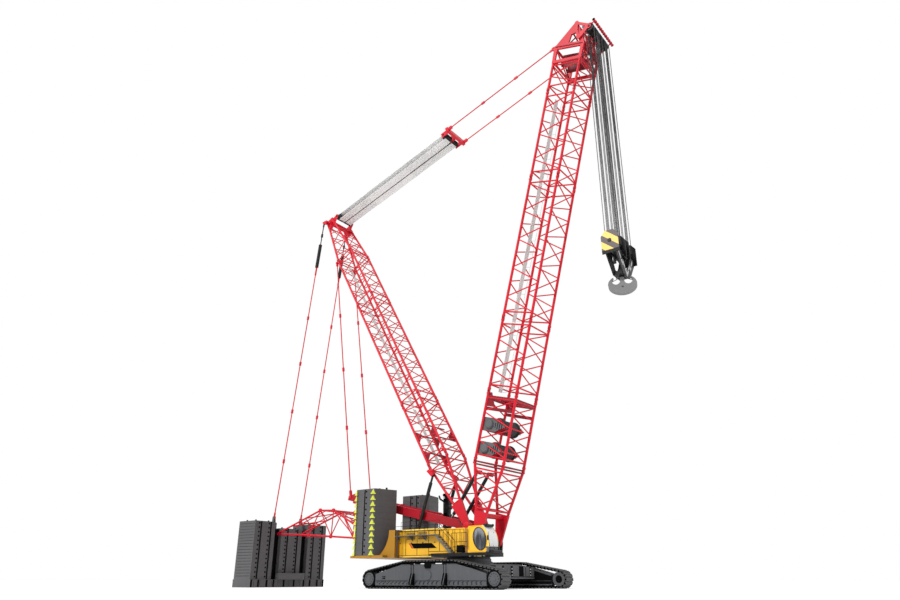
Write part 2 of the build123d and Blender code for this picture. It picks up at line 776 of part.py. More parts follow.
hanger_inner = (hoist_places[hoist_groups[0][1] - 1] + hoist_groups[1][0]) / 2
hanger_places = (hanger_inner, hoist_outer + 12)
guard_bar = (236, 5160)
head_x, head_s = head_sheave
with BuildPart() as boom_head:
    tubes(truss(boom, (joint_3, *boom_sides), (head_frame, *boom_sides), 2, (joint_margin, 30), boom_radii))
    for side in (-1, 1):
        plate(side_of(boom, side * boom_half), head_outline, 20)
        for opening in head_openings:
            with BuildSketch(side_of(boom, side * boom_half)) as hole:
                with BuildLine():
                    Polyline(*opening, close=True)
                make_face()
            extrude(hole.sketch, amount=20, both=True, mode=Mode.SUBTRACT)
        with Locations(Plane(place(boom, head_eye[0], side * boom_half, head_eye[1]), z_dir=(0, 1, 0))):
            Cylinder(22, 14)
            Cylinder(9, 20, mode=Mode.SUBTRACT)
    for x, s, radius in head_bars:
        bar(boom, x, s, hoist_outer + 16 if s > 5000 else boom_half, radius)
    brace_half = boom_half - chord_radius
    for x, low, high in ((boom_rear - 2, head_frame + 8, 4950), (boom_front - 12, head_frame + 8, 4950)):
        tubes([(place(boom, x, side * brace_half, low), place(boom, x, -side * brace_half, high), 7)
               for side in (-1, 1)])
    for side in (-1, 1):
        for y in hanger_places:
            plate(side_of(boom, side * y), hanger_points, 8)
            with BuildSketch(side_of(boom, side * y)) as hole:
                with BuildLine():
                    Polyline(*hanger_opening, close=True)
                make_face()
            extrude(hole.sketch, amount=8, both=True, mode=Mode.SUBTRACT)
            with Locations(Plane(place(boom, head_x, side * y, head_s), z_dir=(0, 1, 0))):
                Cylinder(24, 8)
                Cylinder(12 + pin_clearance, 40, mode=Mode.SUBTRACT)
        for face in (-1, 1):
            y = side * stay_half + face * 11
            plate(side_of(boom, y), [(boom_rear + 12, 4925), (boom_rear + 12, 5005),
                                     (stay_local.X - 14, stay_local.Z + 10),
                                     (stay_local.X - 14, stay_local.Z - 12)], 8)
        inner, outer = sorted((side * (stay_half - 17), side * (stay_half + 17)))
        cross_bar(stay_pin[0], stay_pin[1], inner, outer, 9)
        tubes([(place(boom, head_x + 5, side * (hoist_outer + 12), head_s + 18),
                place(boom, guard_bar[0], side * (hoist_outer + 12), guard_bar[1]), 6)])
    bar(boom, *guard_bar, hoist_outer + 44, 12)
export("boom_head", boom_head)

with BuildPart() as head_sheaves:
    bar(boom, head_x, head_s, hoist_outer + 22, 12)
    for side in (-1, 1):
        for y in hoist_places:
            with Locations(Plane(place(boom, head_x, side * y, head_s), z_dir=(0, 1, 0))):
                Cylinder(hoist_radius - rope_radius - 0.5, sheave_thickness)
export("head_sheaves", head_sheaves)

with BuildPart() as boom_walkway:
    for low, high in ((winch_end + 20, joint_1 - 4), (joint_1 + 4, joint_2 - 4), (joint_2 + 4, joint_3 - 4)):
        middle = place(boom, boom_rear + frame_radius + 2, 0, (low + high) / 2)
        with Locations(Plane(middle, x_dir=boom.x_dir, z_dir=boom.z_dir)):
            Box(4, 56, high - low)
export("boom_walkway", boom_walkway)

# =================================================================== derrick mast
mast_half = mast_width / 2
mast_front = mast_depth / 2
mast_sides = (-mast_front, mast_front, mast_half)
mast_radii = (mast_chord, mast_lace, mast_frame)
mast_margin = 50
stop_local = mast.to_local_coords(Vector(mast_stop_lug[0], 0, mast_stop_lug[1]))

with BuildPart() as mast_foot:
    straight = (mast_foot_end - 10, *mast_sides)
    low = taper(mast_foot_plate - 20, mast_foot_end, -mast_front, mast_front, mast_half)
    clear = taper(mast_open, mast_foot_end, -mast_front, mast_front, mast_half)
    tubes(chords(mast, low, straight, mast_chord)
          + chords(mast, (mast_foot_end - 16, *straight[1:]), (mast_foot_end, *straight[1:]), mast_chord)
          + lacing(mast, low, straight, 5, (30, mast_margin - 10), mast_radii[1:], (LEFT_FACE, RIGHT_FACE))
          + lacing(mast, clear, straight, 2, (0, mast_margin - 10), mast_radii[1:], (REAR_FACE, FRONT_FACE)))
    corners = [taper(mast_foot_plate, mast_foot_end, -mast_front, mast_front, mast_half)[i] for i in (1, 2)]
    corners = (corners[0] - mast_chord - 14, corners[1] + mast_chord + 8)
    for side in (-1, 1):
        foot_side(mast, side * mast_half, mast_foot_plate, corners, (mast_eye_radius, mast_eye_width),
                  2 * mast_chord, mast_pin_radius + pin_clearance)
    for side in (-1, 1):
        for y in (stop_eye / 2 + 5 + 4, -stop_eye / 2 - 5 - 4):
            plate(side_of(mast, side * (mast_stop_half + y)),
                  [(stop_local.X + 14, stop_local.Z - 12), (stop_local.X + 14, stop_local.Z + 12),
                   (-mast_front + 14, stop_local.Z + 62), (-mast_front - 14, stop_local.Z + 62),
                   (stop_local.X - 16, stop_local.Z - 12)], 8)
        inner, outer = sorted((side * mast_half, side * (mast_stop_half + 21)))
        root = place(mast, -mast_front, 0, stop_local.Z + 52)
        cross_bar(root.X, root.Z, inner, outer, 8)
export("mast_foot", mast_foot)

for number, low, high, runs in ((1, mast_foot_end, mast_joint, 7), (2, mast_joint, mast_joint_2, 14)):
    with BuildPart() as section:
        tubes(truss(mast, (low, *mast_sides), (high, *mast_sides), runs, (mast_margin, mast_margin),
                    mast_radii))
    export(f"mast_section_{number}", section)

mast_head_end = 4200
mast_tip = (-2017, 4215)         # where the superlift pendants meet the mast head
tip_local = mast.to_local_coords(Vector(mast_tip[0], 0, mast_tip[1]))
luff_outer = luff_inner + (luff_lanes - 1) * rope_pitch
sheave_x, sheave_s = mast_sheave
with BuildPart() as mast_head:
    tubes(truss(mast, (mast_joint_2, *mast_sides), (mast_head_start, *mast_sides), 7, (mast_margin, 30),
                mast_radii)
          + truss(mast, (mast_head_start, *mast_sides), (mast_head_end, -35, 60, mast_half), 6, (20, 20),
                  mast_radii))
    for side in (-1, 1):
        plate(side_of(mast, side * mast_half), [(-50, 4150), (76, 4150), (70, 4268), (-40, 4268)],
              2 * mast_chord)
        y = side * (luff_outer + 14)
        plate(side_of(mast, y), [(30, 4165), (30, 4265), (sheave_x + 16, sheave_s + 18),
                                 (sheave_x + 16, sheave_s - 18)], 8)
        with Locations(Plane(place(mast, sheave_x, y, sheave_s), z_dir=(0, 1, 0))):
            Cylinder(22, 8)
            Cylinder(10 + pin_clearance, 20, mode=Mode.SUBTRACT)
        for y in (side * (superlift_half - 11), side * (superlift_half + 11)):
            plate(side_of(mast, y), [(-20, 4200), (-20, 4262), (tip_local.X - 14, tip_local.Z + 12),
                                     (tip_local.X - 14, tip_local.Z - 12)], 8)
        inner, outer = sorted((side * (superlift_half - 17), side * (superlift_half + 17)))
        cross_bar(mast_tip[0], mast_tip[1], inner, outer, 8)
        pad = place(mast, -mast_front - 26, side * mast_half, mast_head_start)
        with Locations(Plane(pad, z_dir=(0, 1, 0))):
            Cylinder(16, 12)
        tubes([(place(mast, -mast_front, side * mast_half, mast_head_start), pad, 5)])
    for x, s in ((-8, 4236), (36, 4186)):
        bar(mast, x, s, superlift_half + 17, 16)
export("mast_head", mast_head)

with BuildPart() as mast_sheaves:
    bar(mast, sheave_x, sheave_s, luff_outer + 24, 10)
    for side in (-1, 1):
        for k in range(luff_lanes):
            y = side * (luff_inner + k * rope_pitch)
            with Locations(Plane(place(mast, sheave_x, y, sheave_s), z_dir=(0, 1, 0))):
                Cylinder(luff_radius - rope_radius - 0.5, sheave_thickness)
export("mast_sheaves", mast_sheaves)

# the frame that reaches back from the mast foot, and the pendants from its tip to the mast head
back = leaning(mast_pin, 180 - back_angle)
with BuildPart() as back_frame:
    for side in (-1, 1):
        plate(side_of(back, side * back_half), [(-back_depth / 2, 34), (back_depth / 2, 112),
                                                (back_depth / 2, back_length - 60),
                                                (-back_depth / 2, back_length - 60)], back_width)
        plate(side_of(back, side * back_half), [(-20, back_length - 61), (60, back_length - 61),
                                                (20, back_length + 24), (-20, back_length + 24)], 14)
        for s in (560, 1040):
            with Locations(Plane(place(back, 0, side * back_half, s), x_dir=back.x_dir, z_dir=back.z_dir)):
                Box(back_depth + 10, back_width + 8, 26)
    for s in (440, 800, back_length - 90):
        bar(back, 0, s, back_half, 16)
export("back_frame", back_frame)


def toward(start, end):
    """The frame whose Z runs from start to end, two X and Z pairs, and the distance between them."""
    rise, run = end[1] - start[1], end[0] - start[0]
    return leaning(start, math.degrees(math.atan2(rise, run))), math.hypot(rise, run)


def pendant(frame, y, low, high, joints):
    """A stay bar along a frame, with short couplings spaced evenly between its ends."""
    with Locations(Plane(place(frame, 0, y, low), z_dir=frame.z_dir)):
        Cylinder(pendant_radius, high - low, align=BASE)
    places = [low + (high - low) * (k + 1) / (joints + 1) for k in range(joints)]
    with Locations(*[Plane(place(frame, 0, y, s), x_dir=frame.x_dir, z_dir=frame.z_dir) for s in places]):
        Box(20, 17, 44)


def eye(frame, y, at, root, radius, width, bore=0):
    """A flat eye at one place of a frame, with its shank out to root."""
    with BuildSketch(side_of(frame, y)) as outline:
        with Locations((0, at)):
            Circle(radius)
        with Locations((0, (at + root) / 2)):
            Rectangle(radius * 1.2, abs(root - at))
    extrude(outline.sketch, amount=width / 2, both=True)
    if bore:
        with Locations(Plane(place(frame, 0, y, at), z_dir=(0, 1, 0))):
            Cylinder(bore, 2 * width, mode=Mode.SUBTRACT)


def fork(frame, y, at, root, radius, gap):
    """Two cheeks either side of another piece's eye, joined by a block at root."""
    for face in (-1, 1):
        with BuildSketch(side_of(frame, y + face * (gap / 2 + 2.5))) as outline:
            with Locations((0, at)):
                Circle(radius)
            with Locations((0, (at + root) / 2)):
                Rectangle(radius * 1.2, abs(root - at))
        extrude(outline.sketch, amount=2.5, both=True)
    with Locations(Plane(place(frame, 0, y, root), x_dir=frame.x_dir, z_dir=frame.z_dir)):
        Box(radius * 1.2, gap + 10, 12)


back_tip = place(back, 20, 0, back_length)
back_ear = place(mast, -mast_front - 26, 0, mast_head_start)
back_stay, back_stay_length = toward((back_tip.X, back_tip.Z), (back_ear.X, back_ear.Z))
with BuildPart() as back_pendants:
    for side in (-1, 1):
        y = side * back_half
        pendant(back_stay, y, 58, back_stay_length - 42, 3)
        fork(back_stay, y, 0, 56, 16, 14)
        fork(back_stay, y, back_stay_length, back_stay_length - 40, 14, 12)
export("back_pendants", back_pendants)

# =================================================================== superlift
hang, hang_length = toward(mast_tip, hanger)
pull_top = 300            # along the pendant, from its pin to the top of the cylinder
pull_barrel = 300
pull_stroke_in = 240      # how much of the rod is inside the barrel
pull_radius = 20
pull_rod = 10
hanger_eye = 13
with BuildPart() as pull_cylinders:
    for side in (-1, 1):
        y = side * superlift_half
        eye(hang, y, 0, 60, 15, 10, 8 + pin_clearance)
        pendant(hang, y, 50, pull_top + 2, 1)
        with Locations(Plane(place(hang, 0, y, pull_top), z_dir=hang.z_dir)):
            Cylinder(pull_radius, pull_barrel, align=BASE)
        with Locations(Plane(place(hang, 0, y, pull_top + 20), z_dir=hang.z_dir)):
            Cylinder(pull_rod + ram_clearance, pull_barrel, align=BASE, mode=Mode.SUBTRACT)
export("pull_cylinders", pull_cylinders)

rod_start = pull_top + pull_barrel - pull_stroke_in
with BuildPart() as superlift_pendants:
    for side in (-1, 1):
        y = side * superlift_half
        with Locations(Plane(place(hang, 0, y, rod_start), z_dir=hang.z_dir)):
            Cylinder(pull_rod, pull_stroke_in + 100, align=BASE)
        pendant(hang, y, pull_top + pull_barrel + 90, hang_length - 50, 4)
        eye(hang, y, hang_length, hang_length - 56, hanger_eye, 12)
export("superlift_pendants", superlift_pendants)

guide_upper = [guide_hinge, (-1220, 560), (-1576, 736), (-1770, 746), guide_end]
guide_lower = [guide_hinge, (-1250, 456), (-1920, 507), guide_end]
guide_web = [((-1250, 456), (-1220, 560)), ((-930, 427), (-1220, 560)), ((-1250, 456), (-1576, 736)),
             ((-1590, 482), (-1576, 736)), ((-1590, 482), (-1770, 746)), ((-1920, 507), (-1770, 746)),
             ((-1250, 456), (-1400, 649))]
guide_ties = [(-930, 427), (-930, 481), (-1220, 560), (-1250, 456), (-1576, 736),
              (-1590, 482), (-1770, 746), (-1920, 507), (-2100, 639)]
guide_radius = 7
with BuildPart() as guide_frame:
    bars = []
    for side in (-1, 1):
        y = side * guide_half
        for chain in (guide_upper, guide_lower):
            bars += [((a[0], y, a[1]), (b[0], y, b[1]), guide_radius + 2) for a, b in zip(chain, chain[1:])]
            for x, z in chain[1:-1]:
                with Locations((x, y, z)):
                    Sphere(guide_radius + 2)
        bars += [((a[0], y, a[1]), (b[0], y, b[1]), guide_radius - 1.5) for a, b in guide_web]
        for x, z in (guide_hinge, guide_end):
            with Locations(Plane((x, y, z), z_dir=(0, 1, 0))):
                Cylinder(22, 24)
    bars += [((x, -guide_half, z), (x, guide_half, z), guide_radius - 1) for x, z in guide_ties]
    for a, b in zip(guide_ties[3::2], guide_ties[5::2]):
        bars += [((a[0], side * guide_half, a[1]), (b[0], -side * guide_half, b[1]), 4.5)
                 for side in (-1, 1)]
    tubes(bars)
    for side in (-1, 1):
        for x, z in (guide_hinge, guide_end):
            with Locations(Plane((x, side * guide_half, z), z_dir=(0, 1, 0))):
                Cylinder(10 + pin_clearance, 40, mode=Mode.SUBTRACT)
export("guide_frame", guide_frame)

post_inner = superlift_half - hanger_post
post_outer = superlift_half + hanger_post
gap_inner = superlift_half - ballast_gap
gap_outer = superlift_half + ballast_gap
with BuildPart() as ballast_tray:
    block((ballast_rear, -ballast_half, 0), (ballast_front, ballast_half, ballast_base))
    for side in (-1, 1):
        inner, outer = sorted((side * post_inner, side * post_outer))
        block((hanger[0] - 18, inner, ballast_base - 1), (hanger[0] + 40, outer, hanger[1] - 50))
        for y in (superlift_half - 9.5, superlift_half + 9.5):
            plate(upright(side * y), [(hanger[0] - 18, hanger[1] - 51), (hanger[0] + 18, hanger[1] - 51),
                                      (hanger[0] + 13, hanger[1] + 16), (hanger[0] - 13, hanger[1] + 16)], 3)
        inner, outer = sorted((side * (guide_half - 14), side * (post_inner + 2)))
        cross_bar(guide_end[0], guide_end[1], inner, outer, 10)
    block((ballast_front - slab_inset + 1, -180, ballast_base - 1), (ballast_front + 44, 180, 140))
    for k in range(-6, 7):
        block((ballast_front - 3, k * 78 - 4, 18), (ballast_front + 1, k * 78 + 4, ballast_base - 10),
              Mode.SUBTRACT)
export("ballast_tray", ballast_tray)

with BuildPart() as ballast_stacks:
    for low, high, top in ((-ballast_half, -gap_outer, ballast_high),
                           (-gap_inner, gap_inner, ballast_high - 59),
                           (gap_outer, ballast_half, ballast_high)):
        points = [(ballast_rear + slab_inset, low), (ballast_front - slab_inset, low),
                  (ballast_front - slab_inset, high), (ballast_rear + slab_inset, high)]
        stack(points, ballast_base, (top - ballast_base) / ballast_slabs, ballast_slabs, slab_groove)
export("ballast_stacks", ballast_stacks)

# =================================================================== stays and ropes
luff_axis = place(mast, sheave_x, 0, sheave_s)
stay, stay_length = toward((luff_axis.X, luff_axis.Z), stay_pin)
beam_at = luff_block_reach + 78
with BuildPart() as stay_block:
    with Locations(Plane(place(stay, 0, 0, beam_at), x_dir=stay.x_dir, z_dir=stay.z_dir)):
        Box(56, 2 * stay_half + 36, 34)
    for side in (-1, 1):
        for y in (luff_inner - 11, luff_outer + 14):
            plate(side_of(stay, side * y), [(-28, luff_block_reach - 24), (28, luff_block_reach - 24),
                                            (28, beam_at), (-28, beam_at)], 8)
            with Locations(Plane(place(stay, 0, side * y, luff_block_reach), z_dir=(0, 1, 0))):
                Cylinder(10 + pin_clearance, 20, mode=Mode.SUBTRACT)
        middle = place(stay, 0, side * stay_half, beam_at + 40)
        with Locations(Plane(middle, x_dir=stay.x_dir, z_dir=stay.z_dir)):
            Box(30, 24, 50)
export("stay_block", stay_block)

with BuildPart() as luff_sheaves:
    bar(stay, 0, luff_block_reach, luff_outer + 24, 10)
    for side in (-1, 1):
        for k in range(luff_lanes):
            y = side * (luff_inner + k * rope_pitch)
            with Locations(Plane(place(stay, 0, y, luff_block_reach), z_dir=(0, 1, 0))):
                Cylinder(luff_radius - rope_radius - 0.5, sheave_thickness)
export("luff_sheaves", luff_sheaves)

with BuildPart() as stay_pendants:
    for side in (-1, 1):
        y = side * stay_half
        pendant(stay, y, beam_at + 65, stay_length - 40, 2)
        eye(stay, y, stay_length, stay_length - 44, 20, 9, 9 + pin_clearance)
export("stay_pendants", stay_pendants)


def rope_lanes(frame, start, end, spread, places):
    """The ropes of one stage: two falls in each of the lanes on both sides."""
    tubes([(place(frame, fall, side * y, start), place(frame, fall, side * y, end), rope_radius)
           for y in places for side in (-1, 1) for fall in (-spread, spread)])


# the far stages run between the sheaves, since these come past their ends as the boom rises
for k in range(luff_stages):
    start = k * luff_step
    end = start + luff_stage_length if k < luff_stages - 1 else luff_block_reach
    shift = 0 if k < luff_in_lane else rope_pitch / 2
    with BuildPart() as ropes:
        rope_lanes(stay, start, end, luff_radius,
                   [luff_inner + lane * rope_pitch - shift for lane in range(k, luff_lanes, luff_stages)])
    export(f"luff_ropes_{k + 1}", ropes)

hoist_axis = place(boom, head_x, 0, head_s)
hoist_drop = hoist_axis.Z - block_height
plumb = Plane(hoist_axis, x_dir=(-1, 0, 0), z_dir=(0, 0, -1))
for k in range(hoist_stages):
    with BuildPart() as ropes:
        start = k * (hoist_drop - hoist_stage_length) / (hoist_stages - 1)
        rope_lanes(plumb, start, start + hoist_stage_length, hoist_radius, hoist_places[k::hoist_stages])
    export(f"hoist_ropes_{k + 1}", ropes)

# =================================================================== hook block and hook
hook_x = hoist_axis.X
cover_low, cover_high, cover_half = 2730, 2950, 80
yoke_low, yoke_high = 2566, 2784
yoke_place = 44
shank_radius = 14
yoke_points = [(-hoist_outer - 16, yoke_high), (hoist_outer + 16, yoke_high), (hoist_outer + 16, cover_low),
               (78, yoke_low), (-78, yoke_low), (-hoist_outer - 16, cover_low)]
with BuildPart() as hook_block:
    for side in (-1, 1):
        for y in hanger_places:
            plate(upright(side * y), [(hook_x - cover_half, cover_low), (hook_x + cover_half, cover_low),
                                      (hook_x + cover_half, cover_high - 50), (hook_x + 40, cover_high),
                                      (hook_x - 40, cover_high), (hook_x - cover_half, cover_high - 50)], 8)
            with Locations(Plane((hook_x, side * y, block_height), z_dir=(0, 1, 0))):
                Cylinder(12 + pin_clearance, 20, mode=Mode.SUBTRACT)
    for x in (hook_x - yoke_place, hook_x + yoke_place):
        face = Plane((x, 0, 0), x_dir=(0, 1, 0), z_dir=(1, 0, 0))
        plate(face, yoke_points, 12)
        with BuildSketch(face) as hole:
            with BuildLine():
                Polyline((-96, 2756), (96, 2756), (34, 2630), (-34, 2630), close=True)
            make_face()
        extrude(hole.sketch, amount=10, both=True, mode=Mode.SUBTRACT)
    block((hook_x - yoke_place, -72, yoke_low), (hook_x + yoke_place, 72, yoke_low + 34))
    with Locations((hook_x, 0, yoke_low)):
        Cylinder(shank_radius + pin_clearance, 200, mode=Mode.SUBTRACT)
export("hook_block", hook_block)

with BuildPart() as block_sheaves:
    cross_bar(hook_x, block_height, -hoist_outer - 22, hoist_outer + 22, 12)
    for side in (-1, 1):
        for y in hoist_places:
            with Locations(Plane((hook_x, side * y, block_height), z_dir=(0, 1, 0))):
                Cylinder(hoist_radius - rope_radius - 0.5, sheave_thickness)
export("block_sheaves", block_sheaves)

hook_cos, hook_sin = math.cos(math.radians(hook_turn)), math.sin(math.radians(hook_turn))
hook_face = Plane((hook_x, 0, 0), x_dir=(hook_cos, hook_sin, 0), z_dir=(hook_sin, -hook_cos, 0))
hook_middle, hook_wide, hook_tall = 2488, 125, 88
throat_radius, throat_place, throat_high = 36, 54, 2524
with BuildPart() as hook:
    with BuildSketch(hook_face):
        with Locations((0, hook_middle)):
            Ellipse(hook_wide, hook_tall)
        with Locations((-throat_place, throat_high), (throat_place, throat_high)):
            Circle(throat_radius, mode=Mode.SUBTRACT)
        with Locations((-throat_place + 9, throat_high + 50), (throat_place - 9, throat_high + 50)):
            Rectangle(2 * throat_radius - 18, 100, mode=Mode.SUBTRACT)
        with Locations((0, throat_high + 70)):
            Rectangle(2 * hook_wide, 80, mode=Mode.SUBTRACT)
        with Locations((0, hook_middle - 24)):
            Circle(hook_bore, mode=Mode.SUBTRACT)
    extrude(amount=hook_thickness / 2, both=True)
    with Locations((hook_x, 0, throat_high - 20)):
        Cylinder(shank_radius, yoke_low + 34 + 32 - throat_high + 20, align=BASE)
    with Locations((hook_x, 0, yoke_low + 34 + 2)):
        Cylinder(28, 24, align=BASE)
export("hook", hook)

# =================================================================== backstops
for name, start, end, half, barrel, inside in (
        ("boom_backstop", boom_stop_lug, boom_stop_seat, boom_stop_half, boom_stop_barrel, 325),
        ("mast_backstop", mast_stop_seat, mast_stop_lug, mast_stop_half, mast_stop_barrel, 130)):
    ram, ram_length = toward(start, end)
    with BuildPart() as barrels:
        for side in (-1, 1):
            eye(ram, side * half, 0, 30, stop_eye, stop_eye - 5)
            with Locations(Plane(place(ram, 0, side * half, 24), z_dir=ram.z_dir)):
                Cylinder(stop_radius, barrel - 24, align=BASE)
            with Locations(Plane(place(ram, 0, side * half, 50), z_dir=ram.z_dir)):
                Cylinder(stop_rod + ram_clearance, barrel, align=BASE, mode=Mode.SUBTRACT)
            with Locations(Plane(place(ram, 0, side * half, 0), z_dir=(0, 1, 0))):
                Cylinder(8 + pin_clearance, 40, mode=Mode.SUBTRACT)
    export(name + "_barrels", barrels)
    with BuildPart() as rods:
        for side in (-1, 1):
            with Locations(Plane(place(ram, 0, side * half, barrel - inside), z_dir=ram.z_dir)):
                Cylinder(stop_rod, ram_length - barrel + inside - 6, align=BASE)
            eye(ram, side * half, ram_length, ram_length - 26, 14, stop_eye - 5)
    export(name + "_rods", rods)
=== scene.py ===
# Crawler crane with derrick mast, 1:10 scale model: finishes and fine parts around the fixed frame.
import json

import bpy
import numpy as np
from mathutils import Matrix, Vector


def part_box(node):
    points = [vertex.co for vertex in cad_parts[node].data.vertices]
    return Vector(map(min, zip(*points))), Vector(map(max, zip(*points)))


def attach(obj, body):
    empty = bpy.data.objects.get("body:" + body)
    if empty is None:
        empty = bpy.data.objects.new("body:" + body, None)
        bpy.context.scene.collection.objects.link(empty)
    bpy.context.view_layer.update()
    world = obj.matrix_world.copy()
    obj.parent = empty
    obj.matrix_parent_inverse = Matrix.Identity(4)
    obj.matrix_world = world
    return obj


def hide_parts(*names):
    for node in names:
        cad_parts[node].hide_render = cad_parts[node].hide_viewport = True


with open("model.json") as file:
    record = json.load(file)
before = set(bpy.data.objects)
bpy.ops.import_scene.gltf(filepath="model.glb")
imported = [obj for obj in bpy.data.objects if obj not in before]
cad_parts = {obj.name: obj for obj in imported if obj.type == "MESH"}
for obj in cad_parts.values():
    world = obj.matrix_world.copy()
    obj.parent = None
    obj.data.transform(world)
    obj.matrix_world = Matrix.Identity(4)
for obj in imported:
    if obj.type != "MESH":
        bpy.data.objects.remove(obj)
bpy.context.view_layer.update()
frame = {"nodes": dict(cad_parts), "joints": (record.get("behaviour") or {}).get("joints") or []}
joints = {joint["name"]: np.array(joint["pos_m"]) for joint in frame["joints"] if "pos_m" in joint}

view = {"place": (3.764, -5.411, 0.070), "turn": 36.26, "rise": 22.14, "lens": 27.54, "far": 200}
light = {"sky": 0.73, "sun": 2.1, "turn": -8, "rise": 42, "soft": 14,
         "fill": 0.2, "fillTurn": 142, "fillRise": 35, "fillSoft": 60}
floor = {"reach": 40.0, "colour": 0.86, "rough": 0.9, "gloss": 0.1, "lift": 0.1}  # seen, it is lifted twice as much


class Field:  # a node's output that adds and multiplies as a number does
    def __init__(self, finish, socket):
        self.finish, self.socket = finish, socket

    def maths(self, operation, *values):
        return self.finish.node("ShaderNodeMath", {"operation": operation}, dict(enumerate(values)))

    def __add__(self, other):
        return self.maths("ADD", self, other)

    def __sub__(self, other):
        return self.maths("SUBTRACT", self, other)

    def __rsub__(self, other):
        return self.maths("SUBTRACT", other, self)

    def __mul__(self, other):
        return self.maths("MULTIPLY", self, other)

    def sine(self):
        return self.maths("SINE", self)

    def step(self, low, high):  # 0 below low, 1 above high, smooth between
        return self.finish.node("ShaderNodeMapRange", {"interpolation_type": "SMOOTHSTEP"},
                                {"Value": self, "From Min": low, "From Max": high})

    __radd__ = __add__
    __rmul__ = __mul__


class Finish:  # the node tree of one material, or of the world
    def __init__(self, holder):
        holder.use_nodes = True
        self.holder, self.tree = holder, holder.node_tree
        self.tree.nodes.clear()
        self.place = self.node("ShaderNodeTexCoord", {}, {}, "Object")

    def node(self, kind, settings, values, output=0):
        made = self.tree.nodes.new(kind)
        for key, value in settings.items():
            setattr(made, key, value)
        for key, value in values.items():
            if isinstance(value, Field):
                self.tree.links.new(value.socket, made.inputs[key])
            else:
                made.inputs[key].default_value = value
        return Field(self, made.outputs[output]) if len(made.outputs) else None

    def noise(self, scale, detail=3, place=None):
        return self.node("ShaderNodeTexNoise", {}, {"Vector": place or self.place, "Scale": scale, "Detail": detail})

    def cells(self, scale):
        return self.node("ShaderNodeTexVoronoi", {}, {"Vector": self.place, "Scale": scale})

    def stretched(self, x, y, z):
        return self.node("ShaderNodeMapping", {}, {"Vector": self.place, "Scale": (x, y, z)})

    def part(self, number, place=None):  # one of a place's three numbers
        return self.node("ShaderNodeSeparateXYZ", {}, {0: place or self.place}, number)

    def mix(self, share, first, second):
        return self.node("ShaderNodeMix", {"data_type": "RGBA"}, {0: share, 6: first, 7: second}, 2)

    def bump(self, height, strength, distance):
        return self.node("ShaderNodeBump", {}, {"Height": height, "Strength": strength, "Distance": distance})

    def seen(self):  # 1 where the eye, a gloss or a glass looks, 0 for the light itself
        rays = [self.node("ShaderNodeLightPath", {}, {}, f"Is {ray} Ray")
                for ray in ("Camera", "Glossy", "Transmission")]
        return rays[0].maths("MAXIMUM", rays[0].maths("MAXIMUM", *rays[:2]), rays[2])

    def shade(self, values):
        shader = self.node("ShaderNodeBsdfPrincipled", {}, values)
        self.node("ShaderNodeOutputMaterial", {}, {"Surface": shader})
        return self.holder


def makeStage():
    scene = bpy.context.scene
    scene.view_settings.view_transform = "Standard"
    camera = bpy.data.objects.new("camera", bpy.data.cameras.new("camera"))
    camera.data.lens = view["lens"]
    camera.data.clip_end = view["far"]
    camera.location = view["place"]
    camera.rotation_euler = np.radians([90 + view["rise"], 0, view["turn"]])
    scene.camera = camera
    scene.world = bpy.data.worlds.new("world")
    sky = Finish(scene.world)
    level = sky.seen() * (1 - light["sky"]) + light["sky"]
    glow = sky.node("ShaderNodeBackground", {}, {"Color": (1, 1, 1, 1), "Strength": level})
    sky.node("ShaderNodeOutputWorld", {}, {"Surface": glow})
    ground = Finish(bpy.data.materials.new("ground"))
    ground.shade({"Base Color": (*[floor["colour"]] * 3, 1), "Roughness": floor["rough"],
                  "Specular IOR Level": floor["gloss"], "Emission Color": (1, 1, 1, 1),
                  "Emission Strength": (ground.seen() + 1) * floor["lift"]})
    mesh = bpy.data.meshes.new("ground")
    r = floor["reach"]
    mesh.from_pydata([(-r, -r, 0), (r, -r, 0), (r, r, 0), (-r, r, 0)], [], [(0, 1, 2, 3)])
    mesh.materials.append(ground.holder)
    plain = bpy.data.objects.new("ground", mesh)
    holders = [camera, plain]
    for name, level, turn, rise, soft in (
            ("sun", light["sun"], light["turn"], light["rise"], light["soft"]),
            ("fill", light["fill"], light["fillTurn"], light["fillRise"], light["fillSoft"])):
        lamp = bpy.data.lights.new(name, "SUN")
        lamp.energy = level
        lamp.angle = np.radians(soft)
        holders.append(bpy.data.objects.new(name, lamp))
        holders[-1].rotation_euler = np.radians([90 - rise, 0, turn])
    for holder in holders:
        scene.collection.objects.link(holder)
    print("stage ready")


def tint(red, green, blue, share=1.0):  # a colour as seen, 0 to 255, made linear
    seen = np.array([red, green, blue]) / 255
    linear = np.where(seen <= 0.04045, seen / 12.92, ((seen + 0.055) / 1.055) ** 2.4)
    return (*(linear * share).tolist(), 1.0)


